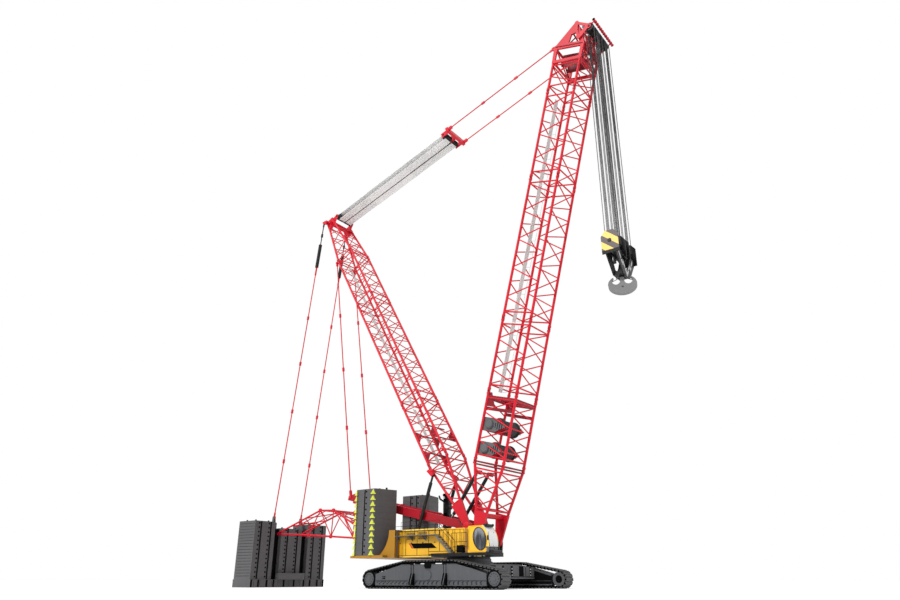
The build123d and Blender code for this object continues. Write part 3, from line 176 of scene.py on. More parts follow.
finishes = {  # colour as seen, roughness, how much metal, soil and chips, and how much gloss
    "red_paint": ((208, 14, 40), 0.42, 0.0, 0.04, 0.3, 0.28),
    # a shaded copy of the red paint: painted shade, for pins, inner frames, gussets and the lower guide chain
    "red_deep_shade": ((128, 12, 30), 0.45, 0.0, 0.06, 0.3, 0.25),
    # a shaded copy of the red paint: painted shade, for the back frame
    "red_half_shade": ((166, 14, 34), 0.42, 0.0, 0.05, 0.3, 0.28),
    "yellow_paint": ((250, 190, 40), 0.36, 0.0, 0.06, 0.25, 0.4),
    # a lit copy of the yellow paint: painted highlight, for the cab pillars and the house trim
    "yellow_highlight": ((250, 214, 96), 0.4, 0.0, 0.08, 0.3, 0.4),
    # a shaded copy of the yellow paint: painted shade, for the counterweight tray's cheek
    "yellow_shade": ((172, 122, 20), 0.42, 0.0, 0.1, 0.3, 0.3),
    "tread_tan": ((206, 190, 140), 0.55, 0.0, 0.2, 0.4, 0.3),
    "lug_green": ((214, 220, 74), 0.4, 0.0, 0.06, 0.25, 0.4),
    "crawler_grey": ((78, 80, 84), 0.5, 0.0, 0.12, 0.4, 0.3),
    "track_steel": ((20, 20, 22), 0.55, 0.1, 0.16, 0.5, 0.25),
    "shoe_grey": ((84, 85, 87), 0.5, 0.1, 0.15, 0.6, 0.3),
    "ballast_grey": ((90, 90, 92), 0.6, 0.0, 0.1, 0.25, 0.2),
    "dark_grey": ((46, 47, 50), 0.5, 0.0, 0.12, 0.3, 0.3),
    "walk_grey": ((104, 106, 108), 0.55, 0.2, 0.2, 0.3, 0.3),
    "winch_grey": ((92, 93, 96), 0.5, 0.0, 0.15, 0.3, 0.3),
    "plate_grey": ((198, 200, 200), 0.4, 0.0, 0.1, 0.3, 0.4),
    "grating": ((214, 212, 210), 0.45, 0.1, 0.1, 0.2, 0.4),
    "white_paint": ((236, 236, 235), 0.25, 0.0, 0.04, 0.1, 0.5),
    "black_paint": ((17, 17, 19), 0.45, 0.0, 0.08, 0.25, 0.25),
    # near black for black parts, and for the sheets and strips that paint the shade in gaps and recesses
    "black_and_gap_shade": ((7, 7, 8), 0.7, 0.0, 0.0, 0.0, 0.05),
    "hook_iron": ((122, 123, 124), 0.5, 0.1, 0.2, 0.4, 0.3),
    "sheave_grey": ((32, 33, 34), 0.45, 0.2, 0.2, 0.3, 0.3),
    "rod_chrome": ((205, 207, 210), 0.12, 1.0, 0.04, 0.0, 0.5),
}
# how fine each pattern is, the share of the colour left in its shade, and how deep the bumps are
wear = {"cloud": 2.2, "mottle": 38, "grain": 900, "chip": 150, "streak": (70, 70, 5), "shadow": 0.86,
        "dust": (122, 114, 102), "bare": (62, 56, 52), "height": 0.25, "depth": 0.0012}


# paint in slow clouds of shade, with dust that runs down in streaks and chips where small cells and mottle meet
def makePaint(name, colour, rough, metal, soil, chipped, gloss):
    finish = Finish(bpy.data.materials.new(name))
    cloud = finish.noise(wear["cloud"], 4)
    mottle = finish.noise(wear["mottle"], 5)
    streaks = finish.noise(1.0, 3, finish.stretched(*wear["streak"]))
    grain = finish.noise(wear["grain"], 2)
    cells = (finish.cells(wear["chip"]) * 0.6 + mottle * 0.9).step(0.28, 0.2)
    chips = cells * mottle.step(0.56, 0.62) * chipped
    dust = (streaks * 0.6 + mottle * 0.4).step(0.42, 0.7) * soil
    shade = finish.mix(cloud.step(0.3, 0.7), tint(*colour, wear["shadow"]), tint(*colour))
    shade = finish.mix(dust, shade, tint(*wear["dust"]))
    shade = finish.mix(chips * 0.7, shade, tint(*wear["bare"]))
    roughness = mottle * 0.12 + dust * 0.5 + chips * 0.25 + (rough - 0.06)
    height = mottle * 0.35 + grain * 0.15 - chips * 0.4
    return finish.shade({"Base Color": shade, "Roughness": roughness, "Metallic": metal, "Specular IOR Level": gloss,
                         "Normal": finish.bump(height, wear["height"], wear["depth"])})


# low and high are the pane's own dark tones; streak and sky are the colours of painted reflections
glassLook = {"low": (24, 28, 34), "high": (48, 52, 60), "streak": (120, 126, 134), "sky": (150, 156, 162),
             "reflectionFrom": 0.40, "reflectionTo": 0.475, "alpha": 0.93, "gloss": 0.7}


def makeGlass():  # smears over a dark pane, with painted reflections: pale streaks, and the sky's colour towards its top
    finish = Finish(bpy.data.materials.new("glass"))
    smear = finish.noise(14, 4)
    streaks = finish.noise(1.0, 2, finish.stretched(60, 60, 9)).step(0.48, 0.62)
    # painted reflection: the sky's colour is mixed in towards the top of the pane
    share = (finish.part(2) + streaks * 0.03).step(glassLook["reflectionFrom"], glassLook["reflectionTo"])
    colour = finish.mix(smear.step(0.35, 0.75), tint(*glassLook["low"]), tint(*glassLook["high"]))
    colour = finish.mix(streaks * 0.35, colour, tint(*glassLook["streak"]))
    colour = finish.mix(share * 0.8, colour, tint(*glassLook["sky"]))
    return finish.shade({"Base Color": colour, "Roughness": smear * 0.08 + 0.02, "Alpha": glassLook["alpha"],
                         "Specular IOR Level": glassLook["gloss"], "Normal": finish.bump(smear, 0.05, 0.001)})


fullTurn = 6.2832
strandLook = {"strands": 6, "turns": 90, "groove": 0.45, "grease": (24, 24, 25), "depth": 0.0004}  # turns in a metre


def makeRope(name, colour, twist):  # strands wind round the rope: u is once round, v is metres along
    finish = Finish(bpy.data.materials.new(name))
    turn = finish.node("ShaderNodeUVMap", {"uv_map": "along"}, {})
    across, along = finish.part(0, turn), finish.part(1, turn)
    strand = ((across * strandLook["strands"] + along * strandLook["turns"]) * fullTurn).sine() * 0.5 + 0.5
    grease = finish.noise(9, 4)
    # painted shade: the grooves between the strands are darkened
    shade = finish.mix(strand * twist + (1 - twist), tint(*colour, strandLook["groove"]), tint(*colour))
    shade = finish.mix(grease.step(0.45, 0.75) * twist * 0.6, shade, tint(*strandLook["grease"]))
    return finish.shade({"Base Color": shade, "Roughness": grease * 0.2 + 0.4, "Metallic": 0.2,
                         "Normal": finish.bump(strand, twist * 0.8, strandLook["depth"])})


stripeLook = {"pitch": 0.135, "slant": 0.85, "start": 1.35, "dark": (92, 84, 82), "light": (250, 208, 110),
              "worn": (70, 62, 54)}


def makeStripes():  # slanting warning bands, by the place across and up the block
    finish = Finish(bpy.data.materials.new("striped_paint"))
    band = ((finish.part(0) * stripeLook["slant"] + finish.part(2)) * (fullTurn / stripeLook["pitch"])
            + stripeLook["start"]).sine()
    mottle = finish.noise(60, 4)
    edge = (band + mottle * 0.1).step(0.0, 0.1)
    colour = finish.mix(edge, tint(*stripeLook["dark"]), tint(*stripeLook["light"]))
    colour = finish.mix(mottle.step(0.6, 0.75) * 0.3, colour, tint(*stripeLook["worn"]))
    return finish.shade({"Base Color": colour, "Roughness": mottle * 0.2 + 0.28,
                         "Normal": finish.bump(mottle, 0.15, 0.001)})


paint = {name: makePaint(name, *look) for name, look in finishes.items()}
paint["glass"] = makeGlass()
paint["rope_steel"] = makeRope("rope_steel", (52, 53, 55), 0.4)
paint["rope_light"] = makeRope("rope_light", (226, 226, 225), 0.1)
paint["striped_paint"] = makeStripes()
print("finishes ready")


alongX, alongY, alongZ = np.eye(3)


def corners(node):  # lowest and highest corner of a frame piece
    return [np.array(corner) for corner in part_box(node)]


def unit(ways):  # each way cut to a length of one
    ways = np.asarray(ways, float)
    return ways / np.linalg.norm(ways, axis=-1, keepdims=True)


def squareTo(ways):  # for each way two directions, square to it and to each other
    side = unit(np.cross(ways, np.where(np.abs(ways[..., 2:]) < 0.9, alongZ, alongX)))
    return side, np.cross(ways, side)


def spots(x, y, z):  # places from three numbers or rows of them, as many as the longest
    return np.stack(np.broadcast_arrays(*(np.asarray(v, float) for v in (x, y, z))), -1)


# a shape is (points, corner numbers, corners per face); its faces are turned to point outwards,
# which they do when the cones from the origin to the faces add up to a positive volume
def turned(points, order, counts):
    starts = np.cumsum(counts) - counts
    fans = counts - 2
    owner = np.repeat(np.arange(len(counts)), fans)
    step = np.arange(len(owner)) - np.repeat(np.cumsum(fans) - fans, fans)
    a, b, c = (points[order[starts[owner] + extra]] for extra in (0 * step, step + 1, step + 2))
    if np.einsum("ij,ij->", a, np.cross(b, c)) < 0:
        return points, order[::-1], counts[::-1]
    return points, order, counts


# rows of rings become a skin: a face joins neighbours i, i + 1 of two rings, and one face closes each end ring
def skinned(rings, closed=False):
    rows, columns = rings.shape[:2]
    i = np.arange(rows if closed else rows - 1)[:, None] * columns
    j = np.arange(columns)[None, :]
    k, n = (j + 1) % columns, (i + columns) % (rows * columns)
    quads = np.stack([i + j, i + k, n + k, n + j], -1).reshape(-1, 4)
    order, counts = [quads.ravel()], [np.full(len(quads), 4)]
    if not closed:
        order += [np.arange(columns)[::-1], np.arange(columns) + (rows - 1) * columns]
        counts += [np.array([columns, columns])]
    return turned(rings.reshape(-1, 3), np.concatenate(order), np.concatenate(counts))


def circle(radius, sides):  # radius times the cosine and sine of equal turns
    angle = np.arange(sides) / sides * 2 * np.pi
    return np.stack([np.cos(angle), np.sin(angle)], -1) * radius


# a profile carried along a path: ring i stands square to the path at point i
def carried(profile, path, up, closed=False):
    way = unit(np.roll(path, -1, 0) - np.roll(path, 1, 0) if closed else np.gradient(path, axis=0))
    side = unit(np.cross(way, up))
    top = np.cross(side, way)
    rings = path[:, None] + profile[None, :, :1] * side[:, None] + profile[None, :, 1:] * top[:, None]
    return skinned(rings, closed)


# an outline in one plane, carried through a thickness with its edges cut by `cut`
def slab(outline, origin, xAxis, yAxis, thickness, cut=0.0):
    outline = np.asarray(outline, float)
    normal = np.cross(xAxis, yAxis)
    flat = origin + outline[:, :1] * xAxis + outline[:, 1:] * yAxis
    if not cut:
        return skinned(np.stack([flat + normal * h for h in (-thickness / 2, thickness / 2)]))
    middle = outline.mean(0)
    inner = middle + (outline - middle) * (1 - cut / np.linalg.norm(outline - middle, axis=1)[:, None])
    small = origin + inner[:, :1] * xAxis + inner[:, 1:] * yAxis
    return skinned(np.stack([small - normal * thickness / 2, flat - normal * (thickness / 2 - cut),
                             flat + normal * (thickness / 2 - cut), small + normal * thickness / 2]))


def upright(outline, y, thickness, cut=0.0, x=0.0):  # a slab that faces sideways, its outline in x and z
    return slab(outline, (x, y, 0), alongX, alongZ, thickness, cut)


# a box with its edges cut: an eight-sided ring that draws in at both ends
def box(low, high, cut=0.0015):
    low, high = np.asarray(low, float), np.asarray(high, float)
    middle, half = (low + high) / 2, (high - low) / 2
    c = min(cut, half.min() * 0.6)
    rings = []
    for height, inset in ((-half[2], c), (c - half[2], 0), (half[2] - c, 0), (half[2], c)):
        a, b = half[:2] - inset
        ring = [(a, c - b), (a, b - c), (a - c, b), (c - a, b), (-a, b - c), (-a, c - b), (c - a, -b), (a - c, -b)]
        rings.append(np.column_stack([ring, np.full(8, height)]) + middle)
    return skinned(np.stack(rings))


# a profile of (radius, height) pairs spun about an axis: a ring is radius times the cosine and sine of each turn
def spun(profile, origin, axis, sides=16):
    axis = unit(axis)
    side, other = squareTo(axis)
    turn = circle(1, sides)
    around = turn[:, :1] * side + turn[:, 1:] * other
    profile = np.asarray(profile, float)
    return skinned(np.asarray(origin, float) + profile[:, None, :1] * around[None] + profile[:, None, 1:] * axis)


def knob(wide, high, narrow, low):  # a solid profile, narrow at its two ends and wide between
    return [(0.0002, high), (narrow, high), (wide, low), (wide, -low), (narrow, -high), (0.0002, -high)]


# one shape set at many places: a point is the place plus its three numbers along that place's axes
def placed(shape, origins, xAxes=alongX, yAxes=alongY, zAxes=alongZ):
    points, order, counts = shape
    origins = np.atleast_2d(np.asarray(origins, float))
    axes = [np.broadcast_to(np.asarray(a, float), origins.shape)[:, None] for a in (xAxes, yAxes, zAxes)]
    places = origins[:, None] + sum(points[None, :, n:n + 1] * axes[n] for n in range(3))
    if (np.einsum("ij,ij->i", np.cross(axes[0][:, 0], axes[1][:, 0]), axes[2][:, 0]) < 0).any():
        order, counts = order[::-1], counts[::-1]
    shift = np.arange(len(origins))[:, None] * len(points)
    return places.reshape(-1, 3), (order[None] + shift).ravel(), np.tile(counts, len(origins))


# round bars, each from its own start to its own end, all at once
def bars(starts, ends, radii, sides=8):
    starts, ends = np.atleast_2d(np.asarray(starts, float)), np.atleast_2d(np.asarray(ends, float))
    side, other = squareTo(unit(ends - starts))
    radii = np.broadcast_to(np.asarray(radii, float), len(starts))[:, None]
    rod = skinned(np.stack([spots(*circle(1, sides).T, h) for h in (0.0, 1.0)]))
    return placed(rod, starts, side * radii, other * radii, ends - starts)


def boltHeads(places, axis, radius=0.0035, height=0.003):  # six-sided heads with a cut rim
    side, other = squareTo(np.asarray(axis, float))
    rings = [spots(*circle(r, 6).T, h) for r, h in ((1.0, -0.3), (1.0, 0.75), (0.8, 1.0))]
    return placed(skinned(np.stack(rings)), places, side * radius, other * radius, np.asarray(axis) * height)


def joined(shapes):  # shapes one after another as one, their corner numbers moved up
    offsets = np.cumsum([0] + [len(shape[0]) for shape in shapes[:-1]])
    return (np.concatenate([shape[0] for shape in shapes]),
            np.concatenate([shape[1] + offset for shape, offset in zip(shapes, offsets)]),
            np.concatenate([shape[2] for shape in shapes]))


def both(shapes):  # the shapes and the same on the other side of the middle
    points, order, counts = joined(shapes)
    return [(points, order, counts), (points * (1, -1, 1), order[::-1], counts[::-1])]


# a piece's mesh goes straight in from its arrays; `along` is its own u and v, a pair for each corner of each face
def makePiece(name, shapes, finish, body, replaces=(), smooth=32, along=None):
    points, order, counts = joined(shapes)
    mesh = bpy.data.meshes.new(name)
    mesh.vertices.add(len(points))
    mesh.vertices.foreach_set("co", points.astype(np.float32).ravel())
    mesh.loops.add(len(order))
    mesh.loops.foreach_set("vertex_index", order.astype(np.int32))
    mesh.polygons.add(len(counts))
    mesh.polygons.foreach_set("loop_start", (np.cumsum(counts) - counts).astype(np.int32))
    mesh.update(calc_edges=True)
    mesh.validate()
    if along is not None:
        layer = mesh.uv_layers.new(name="along")
        layer.data.foreach_set("uv", along.astype(np.float32).ravel())
    mesh.shade_smooth()
    mesh.set_sharp_from_angle(angle=np.radians(smooth))
    piece = bpy.data.objects.new(name, mesh)
    bpy.context.scene.collection.objects.link(piece)
    mesh.materials.append(paint[finish])
    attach(piece, body)
    if replaces:
        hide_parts(*replaces)


# the counterweight tray and the back frame take shaded copies of their paint, as painted shade
ownFinish = {"cab": "yellow_paint", "walkways": "walk_grey", "boom_walkway": "grating", "turntable": "dark_grey",
             "counterweight_tray": "yellow_shade", "back_frame": "red_half_shade", "mast_backstop_rods": "black_paint"}
for name, node in frame["nodes"].items():  # the other frame pieces take the finish of their slot
    for held in node.material_slots:
        known = ownFinish.get(name, held.material.name.split(".")[0])
        held.material = paint.get(known, paint["dark_grey"])
makeStage()


def leaning(pin, degrees, back=1):  # forward, across and along a boom (back = 1) or a mast (back = -1)
    rise, run = np.sin(np.radians(degrees)), np.cos(np.radians(degrees))
    return {"pin": pin, "x": np.array([rise, 0, -back * run]), "y": alongY, "s": np.array([back * run, 0, rise])}


def toward(start, end):  # the same for a line from one place to another
    along = unit(end - start)
    return {"pin": start, "x": np.array([along[2], 0, -along[0]]), "y": alongY, "s": along}


def at(axes, x, y, s):  # places in a leaning frame, as many as the longest of the three
    x, y, s = np.moveaxis(spots(x, y, s), -1, 0)
    return axes["pin"] + x[..., None] * axes["x"] + y[..., None] * axes["y"] + s[..., None] * axes["s"]


boom = leaning(joints["boom_luffing"], 75.2)
mast = leaning(joints["derrick_luffing"], 60.9, -1)


def sideOf(axes, outline, y, thickness, cut=0.0):  # a slab in a leaning frame, its outline forward and along
    return slab(outline, at(axes, 0.0, y, 0.0), axes["x"], axes["s"], thickness, cut)


track = {"wheelX": 0.650, "wrap": 0.078, "humpX": 0.250, "humpTop": 0.226, "humpRadius": 0.060, "inset": 0.008,
         "pitch": 0.036, "thick": 0.007, "grouser": 0.005, "grouserX": (-0.55, 0.45),  # shares of half a shoe
         "lugY": (-0.055, -0.022, 0.022, 0.055), "lug": 0.012}


# the belt round four discs: in each direction it lies on the disc that reaches furthest
def beltPath():
    wheel = (track["wheelX"], track["wrap"], track["wrap"])
    hump = (track["humpX"], track["humpTop"] - track["humpRadius"], track["humpRadius"])
    discs = np.array([(side * x, z, radius) for x, z, radius in (wheel, hump) for side in (-1, 1)])
    angle = np.linspace(-np.pi / 2, 1.5 * np.pi, 4001)
    way = np.stack([np.cos(angle), np.sin(angle)], -1)
    best = (discs[:, :2] @ way.T + discs[:, 2:]).argmax(0)
    points = discs[best, :2] + way * (discs[best, 2:] - track["inset"])
    points = np.concatenate([points, points[:1]])  # the straight run along the ground closes the belt
    run = np.concatenate([[0], np.cumsum(np.linalg.norm(np.diff(points, axis=0), axis=1))])
    count = int(round(run[-1] / track["pitch"]))
    marks = np.arange(count) / count * run[-1]
    place, ahead = (np.stack([np.interp(mark, run, points[:, k]) for k in range(2)], -1)
                    for mark in (marks, (marks + 0.002) % run[-1]))
    return place, unit(ahead - place)


def makeTracks():  # a shoe at each mark of the belt, its length along the belt and its ribs pointing out
    place, way = beltPath()
    for name, node in (("Right", "track_right"), ("Left", "track_left")):
        low, high = corners(node)
        middle, half = (low[1] + high[1]) / 2, (high[1] - low[1]) / 2
        long, thick = track["pitch"] * 0.46, track["thick"] / 2
        pad = [box((-long, -half, -thick), (long, half, thick), 0.0012)]
        pad += [box((long * x - 0.002, 0.003 - half, thick - 0.001),
                    (long * x + 0.002, half - 0.003, thick + track["grouser"]), 0.001) for x in track["grouserX"]]
        lugs = [box((-long * 0.6, y - 0.007, -thick - track["lug"]), (long * 0.6, y + 0.007, 0.001 - thick))
                for y in track["lugY"]]
        lugs += [box((-long * 0.5, y - 0.004, -thick - 0.003), (long * 0.5, y + 0.004, thick + 0.0025))
                 for y in (0.004 - half, half - 0.004)]
        lugs.append(box((-long * 0.95, 0.002 - half, -thick - 0.0045), (long * 0.2, half - 0.002, 0.001 - thick)))
        axes = (spots(way[:, 0], 0, way[:, 1]), alongY, spots(way[:, 1], 0, -way[:, 0]))
        origins = spots(place[:, 0], middle, place[:, 1])
        makePiece("trackShoes" + name, [placed(joined(pad), origins, *axes)], "shoe_grey", "base", (node,))
        makePiece("trackLugs" + name, [placed(joined(lugs), origins, *axes)], "black_and_gap_shade", "base")
    print("tracks ready")


crawler = {"beamFace": 0.0620, "capRadius": 0.054, "boltRing": 0.040, "rollers": 25, "rollerPitch": 0.044,
           "rollerBolts": ((0.042, 0.005, 0.004), (0.056, 0.0025, 0.003)),  # place up, radius and height
           "ledge": (0.575, 0.0615, 0.0655), "topRail": (0.290, 0.190, 0.1935),  # half its length, foot and top
           "braceX": (-0.182, -0.158, 0.158, 0.182), "toggleZ": (0.098, 0.084), "chevronPitch": 0.043,
           "brace": ((0.0, 0.188), (-0.008, 0.188), (-0.008, 0.125), (-0.036, 0.052), (-0.036, 0.036), (0.0, 0.030)),
           "boot": ((0.001, 0.122), (-0.008, 0.122), (-0.034, 0.056), (-0.034, 0.034), (0.001, 0.030)),
           "carrier": ((-0.036, 0.181), (-0.026, 0.160), (0.026, 0.160), (0.036, 0.181), (0.030, 0.206),
                       (-0.030, 0.206)),
           "beam": ((-0.575, 0.038), (0.575, 0.038), (0.590, 0.100), (0.262, 0.188), (-0.262, 0.188),
                    (-0.590, 0.100))}


# covers, ledges and braces of the right crawler, its bolts, and dark pieces that paint the shade in its recesses,
# under its ledge and on its inner faces; both sides are alike
def makeCrawlers():
    grey, dark, paintedShade = [], [], []
    middle = -(corners("track_left")[0][1] + corners("track_left")[1][1]) / 2
    face, inner = middle - crawler["beamFace"], middle + crawler["beamFace"]
    edge, wheelX, wheelZ, r = crawler["ledge"][0], track["wheelX"], track["wrap"], crawler["capRadius"]
    rollers = (np.arange(crawler["rollers"]) - crawler["rollers"] // 2) * crawler["rollerPitch"]
    # on the inner faces the caps are smaller and black, as painted shade
    for out, y, capShare, ringShare, caps in ((-1, face, 1.0, 1.0, grey), (1, inner, 0.6, 0.5, dark)):
        ring, cap = circle(crawler["boltRing"] * ringShare, 12), r * capShare
        for x in (-wheelX, wheelX):
            caps.append(spun([(0.0002, 0.007), (0.018, 0.007), (0.020, 0.004), (cap - 0.004, 0.004), (cap, 0.001),
                              (cap, -0.004)], (x, y, wheelZ), (0, out, 0), 36))
            dark.append(boltHeads(spots(x + ring[:, 0], y + out * 0.004, wheelZ + ring[:, 1]), (0, out, 0)))
        dark += [boltHeads(spots(rollers, y, z), (0, out, 0), wide, tall) for z, wide, tall in crawler["rollerBolts"]]
        grey += [box((-half, y - thick, low), (half, y + thick, high))
                 for (half, low, high), thick in ((crawler["ledge"], 0.0035), (crawler["topRail"], 0.003))]
    for x in crawler["braceX"]:  # braces whose feet stand out from the beam, with dark boots that paint the shade on their lower sides
        grey.append(slab(crawler["brace"], (x, face, 0), alongY, alongZ, 0.0075, 0.001))
        dark.append(slab(crawler["boot"], (x + 0.0105, face, 0), alongY, alongZ, 0.013, 0.001))
        dark.append(spun([(0.0002, 0.010), (0.006, 0.010), (0.0085, 0.007), (0.0085, -0.002)], (x, face, 0.196),
                         -alongY, 14))
    dark.append(upright(crawler["carrier"], face - 0.004, 0.014, 0.003))
    dark.append(spun([(0.0002, 0.016), (0.010, 0.016), (0.013, 0.012), (0.013, 0.0)], (0, face, 0.183), -alongY, 16))
    for z in crawler["toggleZ"]:
        dark.append(box((-0.500, face - 0.006, z - 0.0025), (-0.466, face, z + 0.0025)))
        dark.append(box((-0.474, face - 0.010, z - 0.004), (-0.466, face, z + 0.004)))
    # dark rings round the wheel caps, dark ticks and a dark strip under the ledge, and a dark sheet over the beam's
    # inner face: painted shade
    for x in (-wheelX, wheelX):
        paintedShade.append(spun([(r - 0.002, -0.002), (r - 0.002, 0.0025), (r + 0.014, 0.0025), (r + 0.014, -0.002)],
                           (x, face + 0.0012, wheelZ), -alongY, 40))
    chevrons = np.arange(-13, 13) * crawler["chevronPitch"]
    paintedShade.append(bars(spots(chevrons, face - 0.0015, 0.050), spots(chevrons + 0.018, face - 0.0015, 0.060),
                       0.0018, 6))
    paintedShade.append(box((-edge, face - 0.003, 0.0655), (edge, face, 0.0675), 0.0005))
    paintedShade.append(upright(crawler["beam"], inner + 0.0012, 0.003))
    makePiece("crawlerCovers", both(grey), "crawler_grey", "base")
    makePiece("crawlerBolts", both(dark), "black_and_gap_shade", "base")
    makePiece("crawlerShadeSheets", both([*paintedShade, *armGapShade()]), "black_and_gap_shade", "base")
    print("crawlers ready")


arm = {"x": 0.305, "half": 0.104, "end": 0.405, "low": 0.100, "webY": 0.300, "sideY": 0.4635,
       "boltY": (0.0725, 0.386), "boltZ": (0.111, 0.136, 0.161),
       "slots": ((0.057, 0.088, 0.184), (0.187, 0.270, 0.184), (0.372, 0.400, 0.172)),  # near y, far y and top
       "plates": ((0.088, 0.187, 0.184), (0.270, 0.372, 0.178), (0.400, 0.448, 0.168)),
       "studX": (-0.085, -0.050, 0.050, 0.085), "studZ": (0.115, 0.145), "ring": 0.212, "ringZ": 0.2185}


def armGapShade():  # dark strips on the cross arms' end faces that paint the shade in the gaps between the plates
    return [box((end * arm["end"] - 0.0015, near, arm["low"]), (end * arm["end"] + 0.0015, far, top), 0.0005)
            for end in (-1, 1) for near, far, top in arm["slots"]]


def makeArms():  # plates and bolts on the cross arms' ends, studs on their sides and a ring of bolts on the middle
    plates, bolts = [], []
    fittings = [boltHeads(spots(*circle(arm["ring"], 48).T, arm["ringZ"]), alongZ, 0.004, 0.004)]
    for end in (-1, 1):
        x = end * (arm["end"] + 0.001)
        plates += [box((x - 0.003, near, arm["low"]), (x + 0.003, far, top), 0.001)
                   for near, far, top in arm["plates"]]
        plates.append(box((end * 0.409 - 0.009, 0.057, 0.080), (end * 0.409 + 0.004, 0.448, 0.0925), 0.001))
        bolts += [boltHeads(spots(end * 0.4062, y, arm["boltZ"]), (end, 0, 0), 0.006, 0.006) for y in arm["boltY"]]
        for x in (-arm["x"], arm["x"]):
            studs = x + np.array(arm["studX"])
            fittings += [boltHeads(spots(studs, end * arm["sideY"], z), (0, end, 0), 0.005, 0.004)
                         for z in arm["studZ"]]
            fittings.append(box((x - arm["half"], end * arm["webY"] - 0.006, 0.092),
                                (x + arm["half"], end * arm["webY"] + 0.006, 0.187)))
    makePiece("armPlates", both(plates), "winch_grey", "base")
    makePiece("armBolts", both(bolts), "plate_grey", "base")
    makePiece("carbodyFittings", fittings, "crawler_grey", "base")


makeTracks()
makeCrawlers()
makeArms()


eye = [(0.004, 0.020), (0.009, 0.020), (0.009, 0.004), (0.014, 0.0), (0.014, -0.002), (0.004, -0.002)]  # a profile
weights = {"slabs": 11, "pitch": 0.0536, "lugWide": 0.030, "lugTall": 0.045, "lugOut": 0.020, "grooveWide": 0.012,
           "lugs": (((-0.942, -0.489), -45), ((-0.735, -0.489), 10)), "eyeX": (-0.88, -0.80, -0.71), "eyeY": -0.33,
           "grooves": ((-0.838, -0.489, -1), (-0.838, -0.190, 1), (-0.760, -0.190, 1))}


# a lifting lug: three four-cornered rings, each with its shares of the width and depth, drawing in as they rise
def lugWedge(wide, tall, out):
    shares = ((1.0, 1.0, 0.5, 0.0), (0.92, 0.95, 0.5, 0.14), (0.1, 0.12, 0.4, 1.0))
    return skinned(np.array([[(-wide * a, 0, tall * up), (0, -out * b, tall * up), (wide * a, 0, tall * up),
                              (0, out * c, tall * up)] for a, b, c, up in shares]))


def makeWeights():  # lugs at the corners of each slab, grooves with a bolt to each slab, and lifting eyes on top
    low, high = corners("counterweights")
    heights = low[2] + np.arange(weights["slabs"]) * weights["pitch"] + 0.002
    green, dark = [], []
    for (x, y), turn in weights["lugs"]:
        c, s = np.cos(np.radians(turn)), np.sin(np.radians(turn))
        green.append(placed(lugWedge(weights["lugWide"], weights["lugTall"], weights["lugOut"]), spots(x, y, heights),
                            (c, s, 0), (-s, c, 0)))
    wide = weights["grooveWide"] / 2
    for x, y, out in weights["grooves"]:
        near, far = sorted((y - out * 0.002, y + out * 0.0025))
        dark.append(box((x - wide, near, low[2] + 0.004), (x + wide, far, high[2] - 0.004), 0.001))
        dark.append(boltHeads(spots(x + 0.020, y, heights + weights["pitch"] / 2), (0, out, 0), 0.0085, 0.004))
    dark += [spun(eye, (x, weights["eyeY"], high[2]), alongZ, 14) for x in weights["eyeX"]]
    makePiece("weightLugs", both(green), "lug_green", "upper")
    makePiece("weightBolts", both(dark), "black_and_gap_shade", "upper")


ballast = {"stacks": ((-0.511, -0.240, 0.0), (-0.146, 0.146, 0.059), (0.240, 0.511, 0.0)),  # near y, far y and drop
           "slabs": 13, "lines": 20, "grooveAt": (0.30, 0.78), "grooveHalf": 0.009,
           "seamY": (0.070, 0.210, 0.300, 0.410, 0.500), "gapShadeY": 0.193, "gapShadeHalf": 0.046}


def makeBallast():  # the same for the three stacks behind, with seams on the near side and along the tray, and black sheets in the gaps between the stacks that paint the shade there
    low, high = corners("ballast_stacks")
    tray = corners("ballast_tray")[0][2]
    front, foot, dark, eyes = high[0], tray + 0.082, [], []
    for near, far, drop in ballast["stacks"]:
        top = high[2] - drop
        middles = foot + (np.arange(ballast["slabs"]) + 0.5) * (top - foot) / ballast["slabs"]
        for share in ballast["grooveAt"]:
            y, half = near + (far - near) * share, ballast["grooveHalf"]
            dark.append(box((front - 0.003, y - half, foot), (front + 0.0022, y + half, top - 0.004), 0.001))
            dark.append(boltHeads(spots(front, y - 0.026, middles), alongX, 0.0095, 0.004))
        if near == ballast["stacks"][0][0]:  # seams between the slabs on the near side face
            lines = foot + np.arange(1, ballast["lines"]) * (top - foot) / ballast["lines"]
            dark.append(placed(box((low[0] + 0.014, -0.0008, -0.0012), (front - 0.010, 0.0008, 0.0012), 0.0004),
                               spots(0, near, lines)))
        eyes += [spun([(a, min(b, 0.016)) for a, b in eye], (x, y, top - 0.002), alongZ, 14)
                 for y in (near + 0.05, far - 0.05) for x in (low[0] + 0.06, high[0] - 0.06)]
    for y in (*(-y for y in ballast["seamY"][::-1]), *ballast["seamY"]):
        dark.append(box((front + 0.010, y - 0.011, 0.004), (front + 0.0142, y + 0.011, 0.074), 0.001))
    # painted shade: a black sheet set back in each gap between the stacks
    for y in (-ballast["gapShadeY"], ballast["gapShadeY"]):
        dark.append(box((front - 0.050, y - ballast["gapShadeHalf"], tray + 0.080),
                        (front - 0.044, y + ballast["gapShadeHalf"], high[2] - 0.070)))
    makePiece("ballastBolts", dark, "black_and_gap_shade", "ballast")
    makePiece("ballastEyes", eyes, "dark_grey", "ballast")
    print("weights ready")


makeWeights()
makeBallast()


